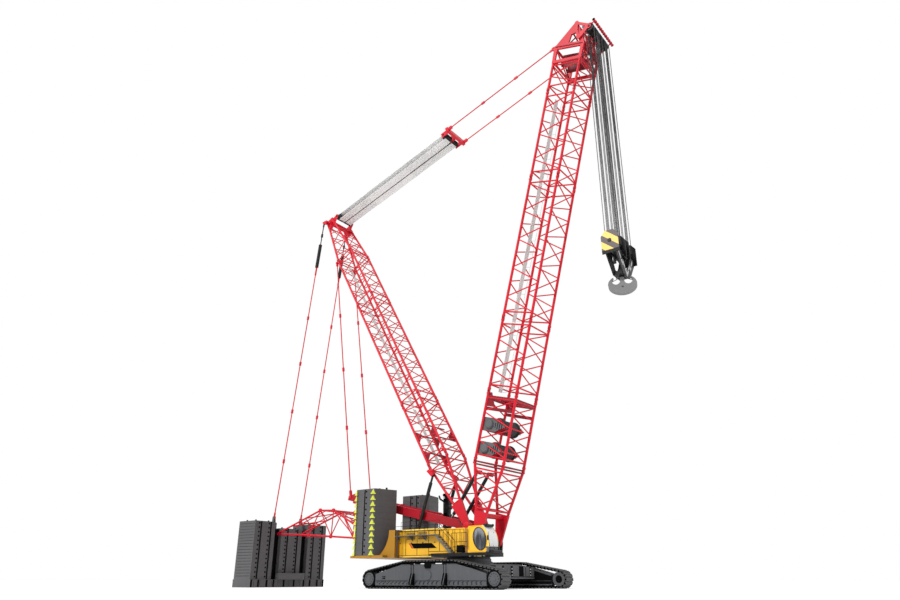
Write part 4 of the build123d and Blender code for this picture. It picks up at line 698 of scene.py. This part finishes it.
# ropes in stages that slide past each other; a group is the first lane's place and how many lanes it holds
hoist = {"groups": ((0.008, 2), (0.064, 7), (0.175, 2)), "pitch": 0.011, "spread": 0.046, "radius": 0.0019,
         "thinner": 0.00012, "sheave": 0.0445, "shaft": 0.012,
         "bodies": ("hoist_fall", "hoist_fall_2", "hoist_fall_3", "lower_block")}
luff = {"groups": ((0.009, 11),), "pitch": 0.0088, "spread": 0.036, "radius": 0.0042, "thinner": 0.0003,
        "step": 0.164, "length": 0.784, "middle": 0.0035, "sheave": 0.0385, "shaft": 0.010,
        "bodies": ("luff_fall", "luff_fall_2", "luff_fall_3", "luff_fall_4", "luff_fall_5", "stay")}
luffWheels = {**luff, "groups": ((0.018, 10),)}


def lanes(look):  # how far each rope lies from the middle
    return np.concatenate([first + np.arange(count) * look["pitch"] for first, count in look["groups"]])


# straight ropes with their own run of u round the rope and v in metres along it
def ropeRun(name, look, axes, low, high, radius, finish, body, node, shift=0.0, sides=7):
    out = lanes(look) + shift
    y = np.concatenate([-out[::-1], out])
    x = np.repeat([-look["spread"], look["spread"]], len(y))
    y = np.tile(y, 2)
    quads = np.array([[(j / sides, 0), ((j + 1) / sides, 0), ((j + 1) / sides, high - low), (j / sides, high - low)]
                      for j in range(sides)]).reshape(-1, 2)
    makePiece(name, [bars(at(axes, x, y, low), at(axes, x, y, high), radius, sides)], finish, body, (node,),
              smooth=60, along=np.tile(np.concatenate([quads, np.zeros((2 * sides, 2))]), (len(y), 1)))


def makeRopes():  # from the sheaves' middle, down for the hoist and along the line to the stay block for luffing
    head = sum(corners("head_sheaves")) / 2
    plumb = {"pin": head, "x": -alongX, "y": alongY, "s": -alongZ}
    for k, body in enumerate(hoist["bodies"]):
        low, high = corners(f"hoist_ropes_{k + 1}")
        ropeRun(f"hoistRopes{k + 1}", hoist, plumb, head[2] - high[2], head[2] - low[2],
                hoist["radius"] - k * hoist["thinner"], "rope_steel", body, f"hoist_ropes_{k + 1}")
    start, end = sum(corners("mast_sheaves")) / 2, sum(corners("luff_sheaves")) / 2
    line = toward(start, end)
    for k, body in enumerate(luff["bodies"]):
        low = k * luff["step"]
        high = np.linalg.norm(end - start) if body == "stay" else low + luff["length"]
        ropeRun(f"luffRopes{k + 1}", luff, line, low, high, luff["radius"] - (k % 3) * luff["thinner"], "rope_light",
                body, f"luff_ropes_{k + 1}", luff["pitch"] / 2 if k > 2 else 0.0)
        # a black bar down the middle of each rope set, where its two halves part, paints the shade in that gap
        x = np.array([1, -1]) * (luff["spread"] + 0.004)
        makePiece(f"luffGapShade{k + 1}", [bars(at(line, x, 0.0, low), at(line, x, 0.0, high), luff["middle"], 8)],
                  "black_and_gap_shade", body)
    print("ropes ready")


# grooved wheels on one shaft: rim, rope groove, web and hub are one profile spun about the shaft
def sheaveSet(name, node, look, body):
    low, high = corners(node)
    middle, radius, shaft, rim, web = (low + high) / 2, look["sheave"], look["shaft"], 0.0042, 0.0015
    side = [(0.016, -rim), (0.024, -rim), (0.026, -web), (radius * 0.72, -web), (radius * 0.76, -rim), (radius, -rim),
            (radius, -rim * 0.6)]
    wheel = spun([*side, (radius - 0.0045, 0.0), *((r, -y) for r, y in side[::-1])], (0, 0, 0), alongY, 30)
    y = np.concatenate([-lanes(look), lanes(look)])
    pin = spun(knob(shaft, high[1], shaft - 0.003, high[1] - 0.003), middle, alongY, 20)
    makePiece(name, [placed(wheel, spots(middle[0], y, middle[2])), pin], "sheave_grey", body, (node,))


makeRopes()
sheaveSet("headSheaves", "head_sheaves", hoist, "head_sheave_set")
sheaveSet("blockSheaves", "block_sheaves", hoist, "block_sheave_set")
sheaveSet("mastSheaves", "mast_sheaves", luffWheels, "mast_sheave_set")
sheaveSet("luffSheaves", "luff_sheaves", luffWheels, "stay_sheave_set")
print("sheaves ready")


# the arc through three places, as so many points
def arcThrough(a, b, c, count):
    a, b, c = (np.array(p, float) for p in (a, b, c))
    middle = np.linalg.solve(2 * np.array([b - a, c - a]), [b @ b - a @ a, c @ c - a @ a])
    turns = np.unwrap([np.arctan2(*(p - middle)[::-1]) for p in (a, b, c)])
    angle = np.linspace(turns[0], turns[2], count)
    return middle + np.stack([np.cos(angle), np.sin(angle)], -1) * np.linalg.norm(a - middle)


# posts and rails over a foot line: a post at every gap, and a rail at each share of the height
def railing(foot, height, shares, gap, radius=0.0022):
    foot, up, starts, ends = np.asarray(foot, float), alongZ * height, [], []
    for a, b in zip(foot[:-1], foot[1:]):
        count = max(2, int(round(np.linalg.norm(b - a) / gap)) + 1)
        posts = a + np.linspace(0, 1, count)[:, None] * (b - a)
        starts += [posts, *([a + up * share] for share in shares)]
        ends += [posts + up, *([b + up * share] for share in shares)]
    return bars(np.concatenate(starts), np.concatenate(ends), radius, 6)


cab = {"screen": ((0.498, 0.322), (0.487, 0.425), (0.438, 0.492)),  # three places on its arc, forward and up
       "thick": 0.003, "rim": 0.005, "pillar": 0.010,
       "window": (0.413, 0.387), "radii": (0.063, 0.091), "lean": 15, "seal": 0.003,
       "lampIn": 0.022, "lamp": ((0.0002, 0.006), (0.009, 0.006), (0.011, 0.003), (0.011, -0.006), (0.005, -0.012),
                                 (0.0002, -0.012))}


# the screen is an arc with a thickness along its normals; the door's seal is a cord round a leaning oval
def makeCab():
    (_, near, foot), (front, far, _) = corners("cab")
    middle = (near + far) / 2
    arc = arcThrough(*cab["screen"], 15)
    out = unit(np.gradient(arc, axis=0)[:, ::-1] * (1, -1))
    pane, pillar = (np.concatenate([arc + out * over, (arc - out * under)[::-1]])
                    for over, under in ((cab["thick"], 0.001), (0.004, cab["pillar"])))
    # the screen is white paint all over: a painted reflection of the pale sky in its glass
    makePiece("cabScreenReflection", [upright(pane, middle, far - near - 2 * cab["rim"])], "white_paint", "upper")
    # the pillars take the lit copy of the yellow paint, as painted highlight
    makePiece("cabPillars", [upright(pillar, y, 0.002) for y in (near - 0.0006, far + 0.0006)], "yellow_highlight",
              "upper")
    c, s = np.cos(np.radians(cab["lean"])), np.sin(np.radians(cab["lean"]))
    oval = circle(1, 48) * cab["radii"] @ np.array([[c, s], [-s, c]]) + cab["window"]
    door, (edge, _, _) = corners("cab_door")
    seal = carried(circle(cab["seal"], 8), spots(oval[:, 0], door[1] - 0.0004, oval[:, 1]), alongY, True)
    handle = bars([(edge - 0.030, near - 0.007, door[2] + 0.030)], [(edge - 0.008, near - 0.007, door[2] + 0.034)],
                  0.0022)
    feet = [box((x - 0.002, near - 0.008, door[2] + 0.028), (x + 0.002, near, door[2] + 0.034))
            for x in (edge - 0.028, edge - 0.012)]
    makePiece("doorFittings", [seal, handle, *feet], "black_paint", "door")
    grey = [box((front - 0.0005, near + 0.005, foot + 0.004), (front + 0.0025, far - 0.005, foot + 0.040)),
            box((front - 0.020, near - 0.003, foot + 0.002), (front + 0.001, near, foot + 0.042))]
    makePiece("cabLowerPanel", grey, "walk_grey", "upper")
    ahead = front + 0.012
    wiper = [(front + 0.003, middle, 0.330), (0.4955, middle + 0.004, 0.352), (0.484, middle + 0.034, 0.440)]
    mirror = [(ahead, near - 0.004, 0.325), (ahead, near - 0.022, 0.400), (front + 0.006, near - 0.002, 0.440)]
    hold = [(0.300, near - 0.006, 0.305), (0.300, near - 0.006, 0.470)]
    dark = [box((0.430, middle - 0.050, 0.478), (0.472, middle + 0.050, 0.503), 0.004),
            box((0.340, middle - 0.030, 0.490), (0.385, middle + 0.030, 0.499), 0.003),
            box((front + 0.006, near - 0.034, 0.372), (ahead, near - 0.012, 0.410), 0.002),
            bars([*wiper[:-1], *mirror[:-1], hold[0]], [*wiper[1:], *mirror[1:], hold[1]],
                 (0.002, 0.0022, 0.0018, 0.0018, 0.002), 6)]
    dark += [spun(cab["lamp"], (0.470, y, 0.496), alongX, 14) for y in (near + cab["lampIn"], far - cab["lampIn"])]
    makePiece("cabFittings", dark, "black_paint", "upper")
    print("cab ready")


house = {"face": 0.362, "low": 0.270, "high": 0.476, "frontLow": 0.298,
         "seams": (-0.568, -0.430, -0.300, -0.170, -0.050, 0.048), "frontSeams": (0.048, 0.093, 0.114, 0.168, 0.208),
         "louvreX": (-0.420, -0.290), "louvres": 9, "catchX": (-0.50, -0.37, -0.24, -0.11),
         "plate": ((-0.372, 0.373), (-0.135, 0.371), (-0.079, 0.328), (-0.336, 0.330)),
         "slash": ((-0.393, 0.374), (-0.379, 0.374), (-0.343, 0.330), (-0.357, 0.330)),
         "under": ((0.352, 0.018), (0.385, 0.040), (0.440, 0.014), (0.30, 0.02)),  # where and how long
         "walks": ((-0.352, 0.485, 0.075, 0.0016), (-0.427, 0.432, 0.085, 0.0018)),  # across, foot, height, radius
         "hoop": ((-0.03, 0.470), (0.03, 0.492), (0.09, 0.440)), "bracket": (-0.165, -0.120, -0.148),
         "stair": ((-0.048, -0.427, 0.432), (0.117, -0.427, 0.282)), "steps": 8}


def doorsIn(edges, y):  # doors stand proud of a dark backing, so the gaps between them show as seams
    backing, doors = [], []
    for a, b in zip(edges[:-1], edges[1:]):
        low = house["low"] if b < -0.1 else house["frontLow"]
        backing.append(box((a, y - 0.0006, low), (b, y + 0.002, house["high"])))
        doors.append(box((a + 0.003, y - 0.0032, low + 0.004), (b - 0.003, y, house["high"] - 0.004), 0.0016))
    return backing, doors


def makeHouses():  # doors, louvres, catches and trim on the side faces, and the panel behind the cab
    y, high = -house["face"], house["high"]
    backing, doors = doorsIn(house["seams"], y)
    slat, slats = box((0, -0.0015, 0), (0.100, 0.0015, 0.004)), 0.405 + np.arange(house["louvres"]) * 0.007
    dark = [placed(slat, spots(x, y - 0.0036, slats)) for x in house["louvreX"]]
    dark += [box((x, y - 0.007, 0.372), (x + 0.014, y - 0.003, 0.380)) for x in house["catchX"]]
    dark += [box((-0.484, -0.4325, 0.262), (-0.470, -0.4285, 0.488)),
             box((-0.484, -0.4300, 0.480), (-0.470, -0.3640, 0.488))]
    # pale trim along the top and a pale strip along the foot of the house sides, in the lit copy of the yellow paint:
    # painted highlight
    pale = [box((x, y - 0.012, high), (x + 0.086, y + 0.010, high + 0.016), 0.003)
            for x in np.arange(-0.55, -0.06, 0.0935)]
    pale.append(box((-0.46, y - 0.004, 0.2555), (0.0, y + 0.004, 0.2655)))
    makePiece("houseSeams", both(backing), "black_and_gap_shade", "upper")
    makePiece("houseDoors", both(doors), "yellow_paint", "upper")
    makePiece("houseTrim", both(pale), "yellow_highlight", "upper")
    makePiece("houseLouvres", both(dark), "dark_grey", "upper")
    backing, doors = doorsIn(house["frontSeams"], y)
    backing.append(box((0.176, -0.430, 0.284), (0.242, -0.392, 0.342), 0.003))
    backing.append(upright(house["plate"], y - 0.0042, 0.002))
    makePiece("cabSideSeams", backing, "black_and_gap_shade", "upper")
    makePiece("cabSideDoors", doors, "yellow_paint", "upper")
    makePiece("panelSlash", [upright(house["slash"], y - 0.0042, 0.002)], "red_paint", "upper")
    print("houses ready")


def makeWalks():  # railings of the decks and the platform, the stair's treads and the brackets under the catwalk
    rails = [railing([(-0.500, y, z), (-0.060, y, z)], tall, (0.5, 1.0), 0.11, radius)
             for y, z, tall, radius in house["walks"]]
    makePiece("deckRails", both(rails), "black_paint", "upper")
    stair, hoop = np.array(house["stair"]), arcThrough(*house["hoop"], 12)
    rails = [railing([(0.125, -0.426, 0.282), (0.284, -0.426, 0.282)], 0.158, (0.30, 0.55, 1.0), 0.052),
             railing(stair, 0.10, (1.0,), 0.10), railing(stair + (0, 0.055, 0), 0.10, (1.0,), 0.10),
             railing([(0.512, -0.424, 0.286), (0.512, -0.296, 0.286)], 0.036, (1.0,), 0.06),
             carried(circle(0.0022, 6), spots(hoop[:, 0], -0.427, hoop[:, 1]), alongY)]
    makePiece("platformRails", rails, "black_paint", "upper")
    steps = stair[0] + (np.arange(house["steps"]) / house["steps"] + 0.06)[:, None] * (stair[1] - stair[0])
    treads = placed(box((-0.012, -0.001, -0.002), (0.012, 0.058, 0.002)), steps)
    under = [box((x, -0.429, 0.250), (x + long, -0.415, 0.268), 0.003) for x, long in house["under"]]
    makePiece("stairTreads", [treads, *under], "tread_tan", "upper")
    rear, front, foot = house["bracket"]
    bracket = bars([(rear, -0.427, 0.428), (front, -0.427, 0.428)], [(foot, -0.427, 0.388)] * 2, 0.002, 6)
    makePiece("catwalkBrackets", both([bracket]), "walk_grey", "upper")
    print("walks ready")


covers = {  # finish, body, and the place, radius and half width of each
    "stopSeatCaps": ("black_paint", "upper",
                     (-0.180, 0.095, 0.512, 0.021, 0.024), (-0.425, 0.190, 0.507, 0.021, 0.022)),
    "mastPinCaps": ("red_paint", "derrick",
                    (0.100, 0.1735, 0.515, 0.034, 0.011), (0.100, 0.1265, 0.515, 0.034, 0.011)),
    "boomPinCaps": ("dark_grey", "upper",
                    (0.212, 0.205, 0.382, 0.016, 0.006), (0.212, 0.141, 0.382, 0.016, 0.006))}


def makeJointCovers():  # drums, pins and pads that cover a joint's lugs, each a knob spun about its pin
    for name, (finish, body, *caps) in covers.items():
        drums = [spun(knob(r, half, r * 0.55, half * 0.55), (x, -y, z), alongY, 22) for x, y, z, r, half in caps]
        makePiece(name, both(drums), finish, body)


# a lattice's faces forward and across, the radius of its chords, and places along it from its foot pins
boomBox = {"rear": -0.184, "front": 0.124, "half": 0.173, "chord": 0.013,
           "joints": (0.670, 1.312, 2.020, 3.480, 4.450), "frames": (0.642, 0.666, 1.241, 1.265),
           "lines": ((1.34, 2.00), (2.04, 3.46), (3.50, 4.42)), "lineY": 0.034, "postPitch": 0.14}
mastBox = {"rear": -0.113, "front": 0.113, "half": 0.150, "joints": (0.700, 1.420, 2.860, 3.620), "chord": 0.012,
           "bars": ((-0.06, 0.82), (0.04, 0.96), (-0.06, 1.02), (0.04, 1.08)),
           "steps": ((0.72, 1.40), (1.44, 2.84), (2.88, 3.58))}


def chordPlaces(look):  # the four chords of a lattice, forward and across, and the first once more
    r, f, h = look["rear"], look["front"], look["half"]
    return np.array([(r, -h), (f, -h), (f, h), (r, h), (r, -h)])


# forks and pins where two sections of a lattice meet, on all four chords
def jointForks(name, axes, look, body):
    sleeves, pins, r = [], [], look["chord"]
    for s in look["joints"]:
        for x, y in chordPlaces(look)[:4]:
            a, b = at(axes, x, y, np.array([s - 0.030, s + 0.030]))
            sleeves.append(bars([a, b - axes["s"] * 0.018], [a + axes["s"] * 0.018, b], r * 1.28, 14))
            pins.append(bars(at(axes, x, [y - r * 1.45], s), at(axes, x, [y + r * 1.45], s), r * 0.55, 12))
    makePiece(name + "Forks", sleeves, "red_paint", body)
    # the pins take the shaded copy of the red paint, as painted shade
    makePiece(name + "Pins", pins, "red_deep_shade", body)


def makeBoomParts():  # cross frames and plates round the winches, and the walkway's hand lines
    jointForks("boom", boom, boomBox, "boom")
    r, f, h = boomBox["rear"], boomBox["front"], boomBox["half"]
    chords = chordPlaces(boomBox).T
    frames = [bars(at(boom, *chords[:, :-1], s), at(boom, *chords[:, 1:], s), 0.0075, 10) for s in boomBox["frames"]]
    frames += [sideOf(boom, outline, y, 0.006) for y in (-h, h) for outline in (
        ((r, 1.135), (f, 1.135), (f, 1.165), (r, 1.165)),
        ((r + 0.01, 1.17), (r + 0.10, 1.17), (r + 0.04, 1.30), (r + 0.01, 1.30)))]
    # the winch frames take the shaded copy of the red paint, as painted shade
    makePiece("winchFrames", frames, "red_deep_shade", "boom")
    rails = []
    for low, high in boomBox["lines"]:  # hand lines along the walkway, on stanchions
        for y in (-boomBox["lineY"], boomBox["lineY"]):
            posts = np.arange(low, high, boomBox["postPitch"])
            rails.append(bars(at(boom, r + 0.055, y, [low]), at(boom, r + 0.055, y, [high]), 0.0016, 6))
            rails.append(bars(at(boom, r + 0.014, y, posts), at(boom, r + 0.055, y, posts), 0.0015, 6))
    makePiece("boomHandLines", rails, "plate_grey", "boom")


def makeMastParts():  # gussets and cross bars at the foot, and a strip of steps up the rear face
    jointForks("mast", mast, mastBox, "derrick")
    deep, wide = mastBox["front"], mastBox["half"]
    rear = [(-deep, -0.06), (0.07 - deep, 0.0), (-deep, 0.09)]
    front = [(deep, -0.09), (deep - 0.08, 0.0), (deep, 0.07)]
    plates = [slab(outline, at(mast, 0.0, y, s), mast["x"], mast["s"], 0.006)
              for outline, s in ((rear, 0.80), (rear, 1.02), (front, 0.96)) for y in (-wide, wide)]
    x, s = np.transpose(mastBox["bars"])
    plates.append(bars(at(mast, x, -wide, s), at(mast, x, wide, s), 0.007, 10))
    # the gussets and cross bars take the shaded copy of the red paint, as painted shade
    makePiece("mastGussets", plates, "red_deep_shade", "derrick")
    makePiece("mastSteps", [slab([(-0.026, low), (0.026, low), (0.026, high), (-0.026, high)],
                                 at(mast, 0.022 - deep, 0.0, 0.0), mast["y"], mast["s"], 0.003)
                            for low, high in mastBox["steps"]], "grating", "derrick")
    print("lattices ready")


winch = {"s": (0.790, 1.010), "x": -0.030, "wide": 0.108, "radius": 0.060, "rope": 0.0022, "turns": 20,
         "side": 0.163, "motorX": -0.110,
         "plate": ((-0.182, -0.058), (-0.040, -0.060), (0.068, 0.0), (-0.040, 0.060), (-0.182, 0.058)),
         "motor": ((0.0002, 0.026), (0.030, 0.026), (0.040, 0.018), (0.046, 0.0)),
         "ribX": (-0.045, -0.022, 0.001, 0.024)}


# rope wound on a drum: the drum's radius, plus the rope's height times the size of a sine that ripples once a turn
def makeWinches():
    n = np.arange(8 * winch["turns"] + 1)
    y = (n / n[-1] * 2 - 1) * winch["wide"]
    radius = winch["radius"] + winch["rope"] * np.abs(np.sin(n * np.pi / 8))
    profile = np.column_stack([[0.03, *radius, 0.03], [y[0], *y, y[-1]]])
    faces, ribs = [], []
    for k, s in enumerate(winch["s"]):
        makePiece(f"windings{k + 1}", [spun(profile, at(boom, winch["x"], 0.0, s), alongY, 28)], "rope_steel",
                  f"winch_{k + 1}")
        for y in (-1, 1):
            outline = np.array(winch["plate"]) + (0, s)
            faces.append(sideOf(boom, outline, y * winch["side"], 0.004, 0.001))
            faces.append(spun(winch["motor"], at(boom, winch["motorX"], y * 0.164, s), (0, y, 0), 26))
            x = np.array(winch["ribX"])
            half = 0.044 - np.abs(x) * 0.5
            ribs.append(bars(at(boom, x, y * 0.1665, s - half), at(boom, x, y * 0.1665, s + half), 0.0028, 6))
    makePiece("winchMotors", faces, "winch_grey", "boom")
    makePiece("winchRibs", ribs, "black_and_gap_shade", "boom")


guide = {"half": 0.160, "from": -2.36, "to": -0.75, "chains": {  # finish, how far out the rails lie, and the corners
    "Upper": ("red_paint", 0.085,
              (-0.632, 0.400), (-1.220, 0.560), (-1.576, 0.736), (-1.770, 0.746), (-2.425, 0.534)),
    # the lower chain takes the shaded copy of the red paint, as painted shade
    "Lower": ("red_deep_shade", 0.110, (-0.632, 0.400), (-1.250, 0.456), (-1.920, 0.507), (-2.425, 0.534))}}


# crossed bars and side rails between the two sides of the guide frame, and knuckles at its corners
def makeGuideBars():
    knuckles, half = [], guide["half"]
    for name, (finish, rail, *chain) in guide["chains"].items():
        chain = np.array(chain)
        cuts = (chain[:-1] + np.diff(chain, axis=0) * np.linspace(0, 1, 4)[:, None, None]).transpose(1, 0, 2)
        a, b = cuts[:, :-1].reshape(-1, 2), cuts[:, 1:].reshape(-1, 2)
        kept = (a[:, 0] < guide["to"]) & (b[:, 0] > guide["from"])
        starts, ends = ([spots(p[kept, 0], y, p[kept, 1]) for y in ys]
                        for p, ys in ((a, (-half, half, -rail, rail)), (b, (half, -half, -rail, rail))))
        makePiece("guideBars" + name, [bars(np.concatenate(starts), np.concatenate(ends), 0.0055, 8)], finish,
                  "guide")
        knuckles += [spun(knob(0.020, 0.012, 0.017, 0.008), (x, y, z), alongY, 18)
                     for x, z in chain[1:-1] for y in (-half, half)]
    makePiece("guideKnuckles", knuckles, "red_paint", "guide")


unitValve = [(0.0002, 0.012), (0.012, 0.012), (0.015, 0.008), (0.015, -0.002), (0.0002, -0.002)]


# valves, hoses and a lever around the hydraulic unit
def makeHydraulics():
    low, high = corners("hydraulic_unit")
    middle, n = (low + high) / 2, np.arange(5)
    rows = [spun(unitValve, (x, low[1] - 0.001, z), -alongY, 14)
            for x in np.linspace(low[0] + 0.03, high[0] - 0.03, 4)
            for z in (low[2] + 0.05, middle[2], high[2] - 0.04)]
    rows.append(bars(spots(low[0] + 0.02 + n * 0.014, low[1] - 0.014, low[2] + 0.01),
                     spots(low[0] + 0.03 + n * 0.012, low[1] - 0.014, high[2] + 0.012), 0.0035, 8))
    lever = spots(low[0] - np.array([0, 0.05, 0.062]), middle[1], high[2] + np.array([-0.05, -0.02, 0.01]))
    rows.append(bars(lever[:-1], lever[1:], 0.008, 10))
    rows.append(box((middle[0] - 0.03, low[1] - 0.008, high[2] - 0.002),
                    (middle[0] + 0.03, middle[1], high[2] + 0.022), 0.004))
    makePiece("hydraulicFittings", rows, "black_and_gap_shade", "upper")


headGear = {"foot": 4.80, "rear": 4.95, "front": 4.94, "peak": 5.08, "knee": (0.06, 4.97), "collars": 12,
            "guardHalf": 0.225, "ringY": (-0.13, -0.10, -0.07, 0.07, 0.10, 0.13),
            "collar": ((0.0002, 0.005), (0.014, 0.005), (0.016, 0.002), (0.016, -0.005), (0.0002, -0.005)),
            "ring": ((0.010, -0.004), (0.030, -0.004), (0.033, 0.0), (0.030, 0.004), (0.010, 0.004))}


# frames round the head, each bar from one place to another: braces that cross to the middle and bars between them
def makeHeadGear():
    r, f, h = boomBox["rear"], boomBox["front"], boomBox["half"]
    foot, rear, front = headGear["foot"], headGear["rear"], headGear["front"]
    runs = [((r, -h, rear), (r, h, rear)), ((f, -h, front), (f, h, front))]
    for side in (-1, 1):
        runs += [((r, side * h, foot), (r, -side * 0.02, rear)), ((f, side * h, foot), (f, -side * 0.02, front)),
                 ((0.0, side * h, headGear["peak"]), (headGear["knee"][0], side * h * 0.3, headGear["knee"][1]))]
    starts, ends = np.array(runs).transpose(1, 2, 0)
    frames = [bars(at(boom, *starts), at(boom, *ends), 0.008, 10)]
    side = h + 0.008
    frames += [bars(at(boom, [-0.015, -0.188], y, [4.982, 4.965]), at(boom, [0.063, 0.129], y, [5.058, 4.947]),
                    0.007, 10) for y in (-side, side)]
    plate = [(r + 0.03, foot), (f - 0.03, foot), (f - 0.03, front - 0.01), (r + 0.03, front)]
    frames += [sideOf(boom, plate, y, 0.006) for y in (-0.060, 0.060)]
    # the head frames take the shaded copy of the red paint, as painted shade
    makePiece("headFrames", frames, "red_deep_shade", "boom")
    across = np.linspace(-headGear["guardHalf"], headGear["guardHalf"], headGear["collars"])
    collars = placed(spun(headGear["collar"], (0, 0, 0), alongY, 14), at(boom, 0.236, across, 5.160))
    # the guard collars take the shaded copy of the red paint, as painted shade
    makePiece("guardCollars", [collars], "red_deep_shade", "boom")
    rings = placed(spun(headGear["ring"], (0, 0, 0), alongY, 20), at(boom, 0.085, headGear["ringY"], 5.190))
    makePiece("headGuides", [rings], "winch_grey", "boom")


hookGear = {"yoke": ((-0.150, -0.085, 2.770, 2.668), (-0.075, 0.0, 2.700, 2.590),
                     (0.150, 0.085, 2.770, 2.668), (0.075, 0.0, 2.700, 2.590)), "yokeX": 0.044,
            "band": 0.034, "bolts": ((-0.11, 2.69), (0.11, 2.69), (-0.04, 2.63), (0.04, 2.63)), "turn": 20,
            "cap": ((0.0002, 0.008), (0.014, 0.008), (0.018, 0.004), (0.018, 0.0)), "shoulder": 0.040}


def makeHookGear():  # the block's striped cover, the yoke's bolted plates, and the hook's latches and collar
    low, high = corners("hook_block")
    x, half, neck = (low[0] + high[0]) / 2, (high[0] - low[0]) / 2, hookGear["shoulder"]
    cover = [(-half, 2.760), (half, 2.760), (half, 2.900), (neck, 2.9495), (-neck, 2.9495), (-half, 2.900)]
    makePiece("coverStripes", [upright(cover, low[1] - 0.001, 0.003, 0.0008, x)], "striped_paint", "lower_block")
    plates, caps = [], []
    for out in (-1, 1):
        face, band = x + out * hookGear["yokeX"], hookGear["band"]
        for y0, y1, z0, z1 in hookGear["yoke"]:
            plates.append(slab([(y0, z0), (y1, z1), (y1, z1 - band), (y0, z0 - band)], (face + out * 0.0075, 0, 0),
                               alongY, alongZ, 0.003))
        caps.append(boltHeads(spots(face + out * 0.009, *np.transpose(hookGear["bolts"])), (out, 0, 0), 0.006, 0.005))
        caps.append(spun(hookGear["cap"], (x, out * 0.204, 2.85), (0, out, 0), 18))
    makePiece("yokePlates", plates, "plate_grey", "lower_block")
    makePiece("blockPins", caps, "dark_grey", "lower_block")
    way = np.array([np.cos(np.radians(hookGear["turn"])), np.sin(np.radians(hookGear["turn"])), 0.0])
    latches = [bars([way * side * 0.024 + (x, 0, 2.556)], [way * side * 0.098 + (x, 0, 2.522)], 0.0028, 8)
               for side in (-1, 1)]
    makePiece("hookLatches", latches, "black_paint", "hook")
    makePiece("hookCollar", [spun(knob(0.023, 0.010, 0.020, 0.006), (x, 0, 2.558), alongZ, 20)], "dark_grey", "hook")
    print("hook ready")


makeCab()
makeHouses()
makeWalks()
makeJointCovers()
makeBoomParts()
makeMastParts()
makeWinches()
makeGuideBars()
makeHydraulics()
makeHeadGear()
makeHookGear()
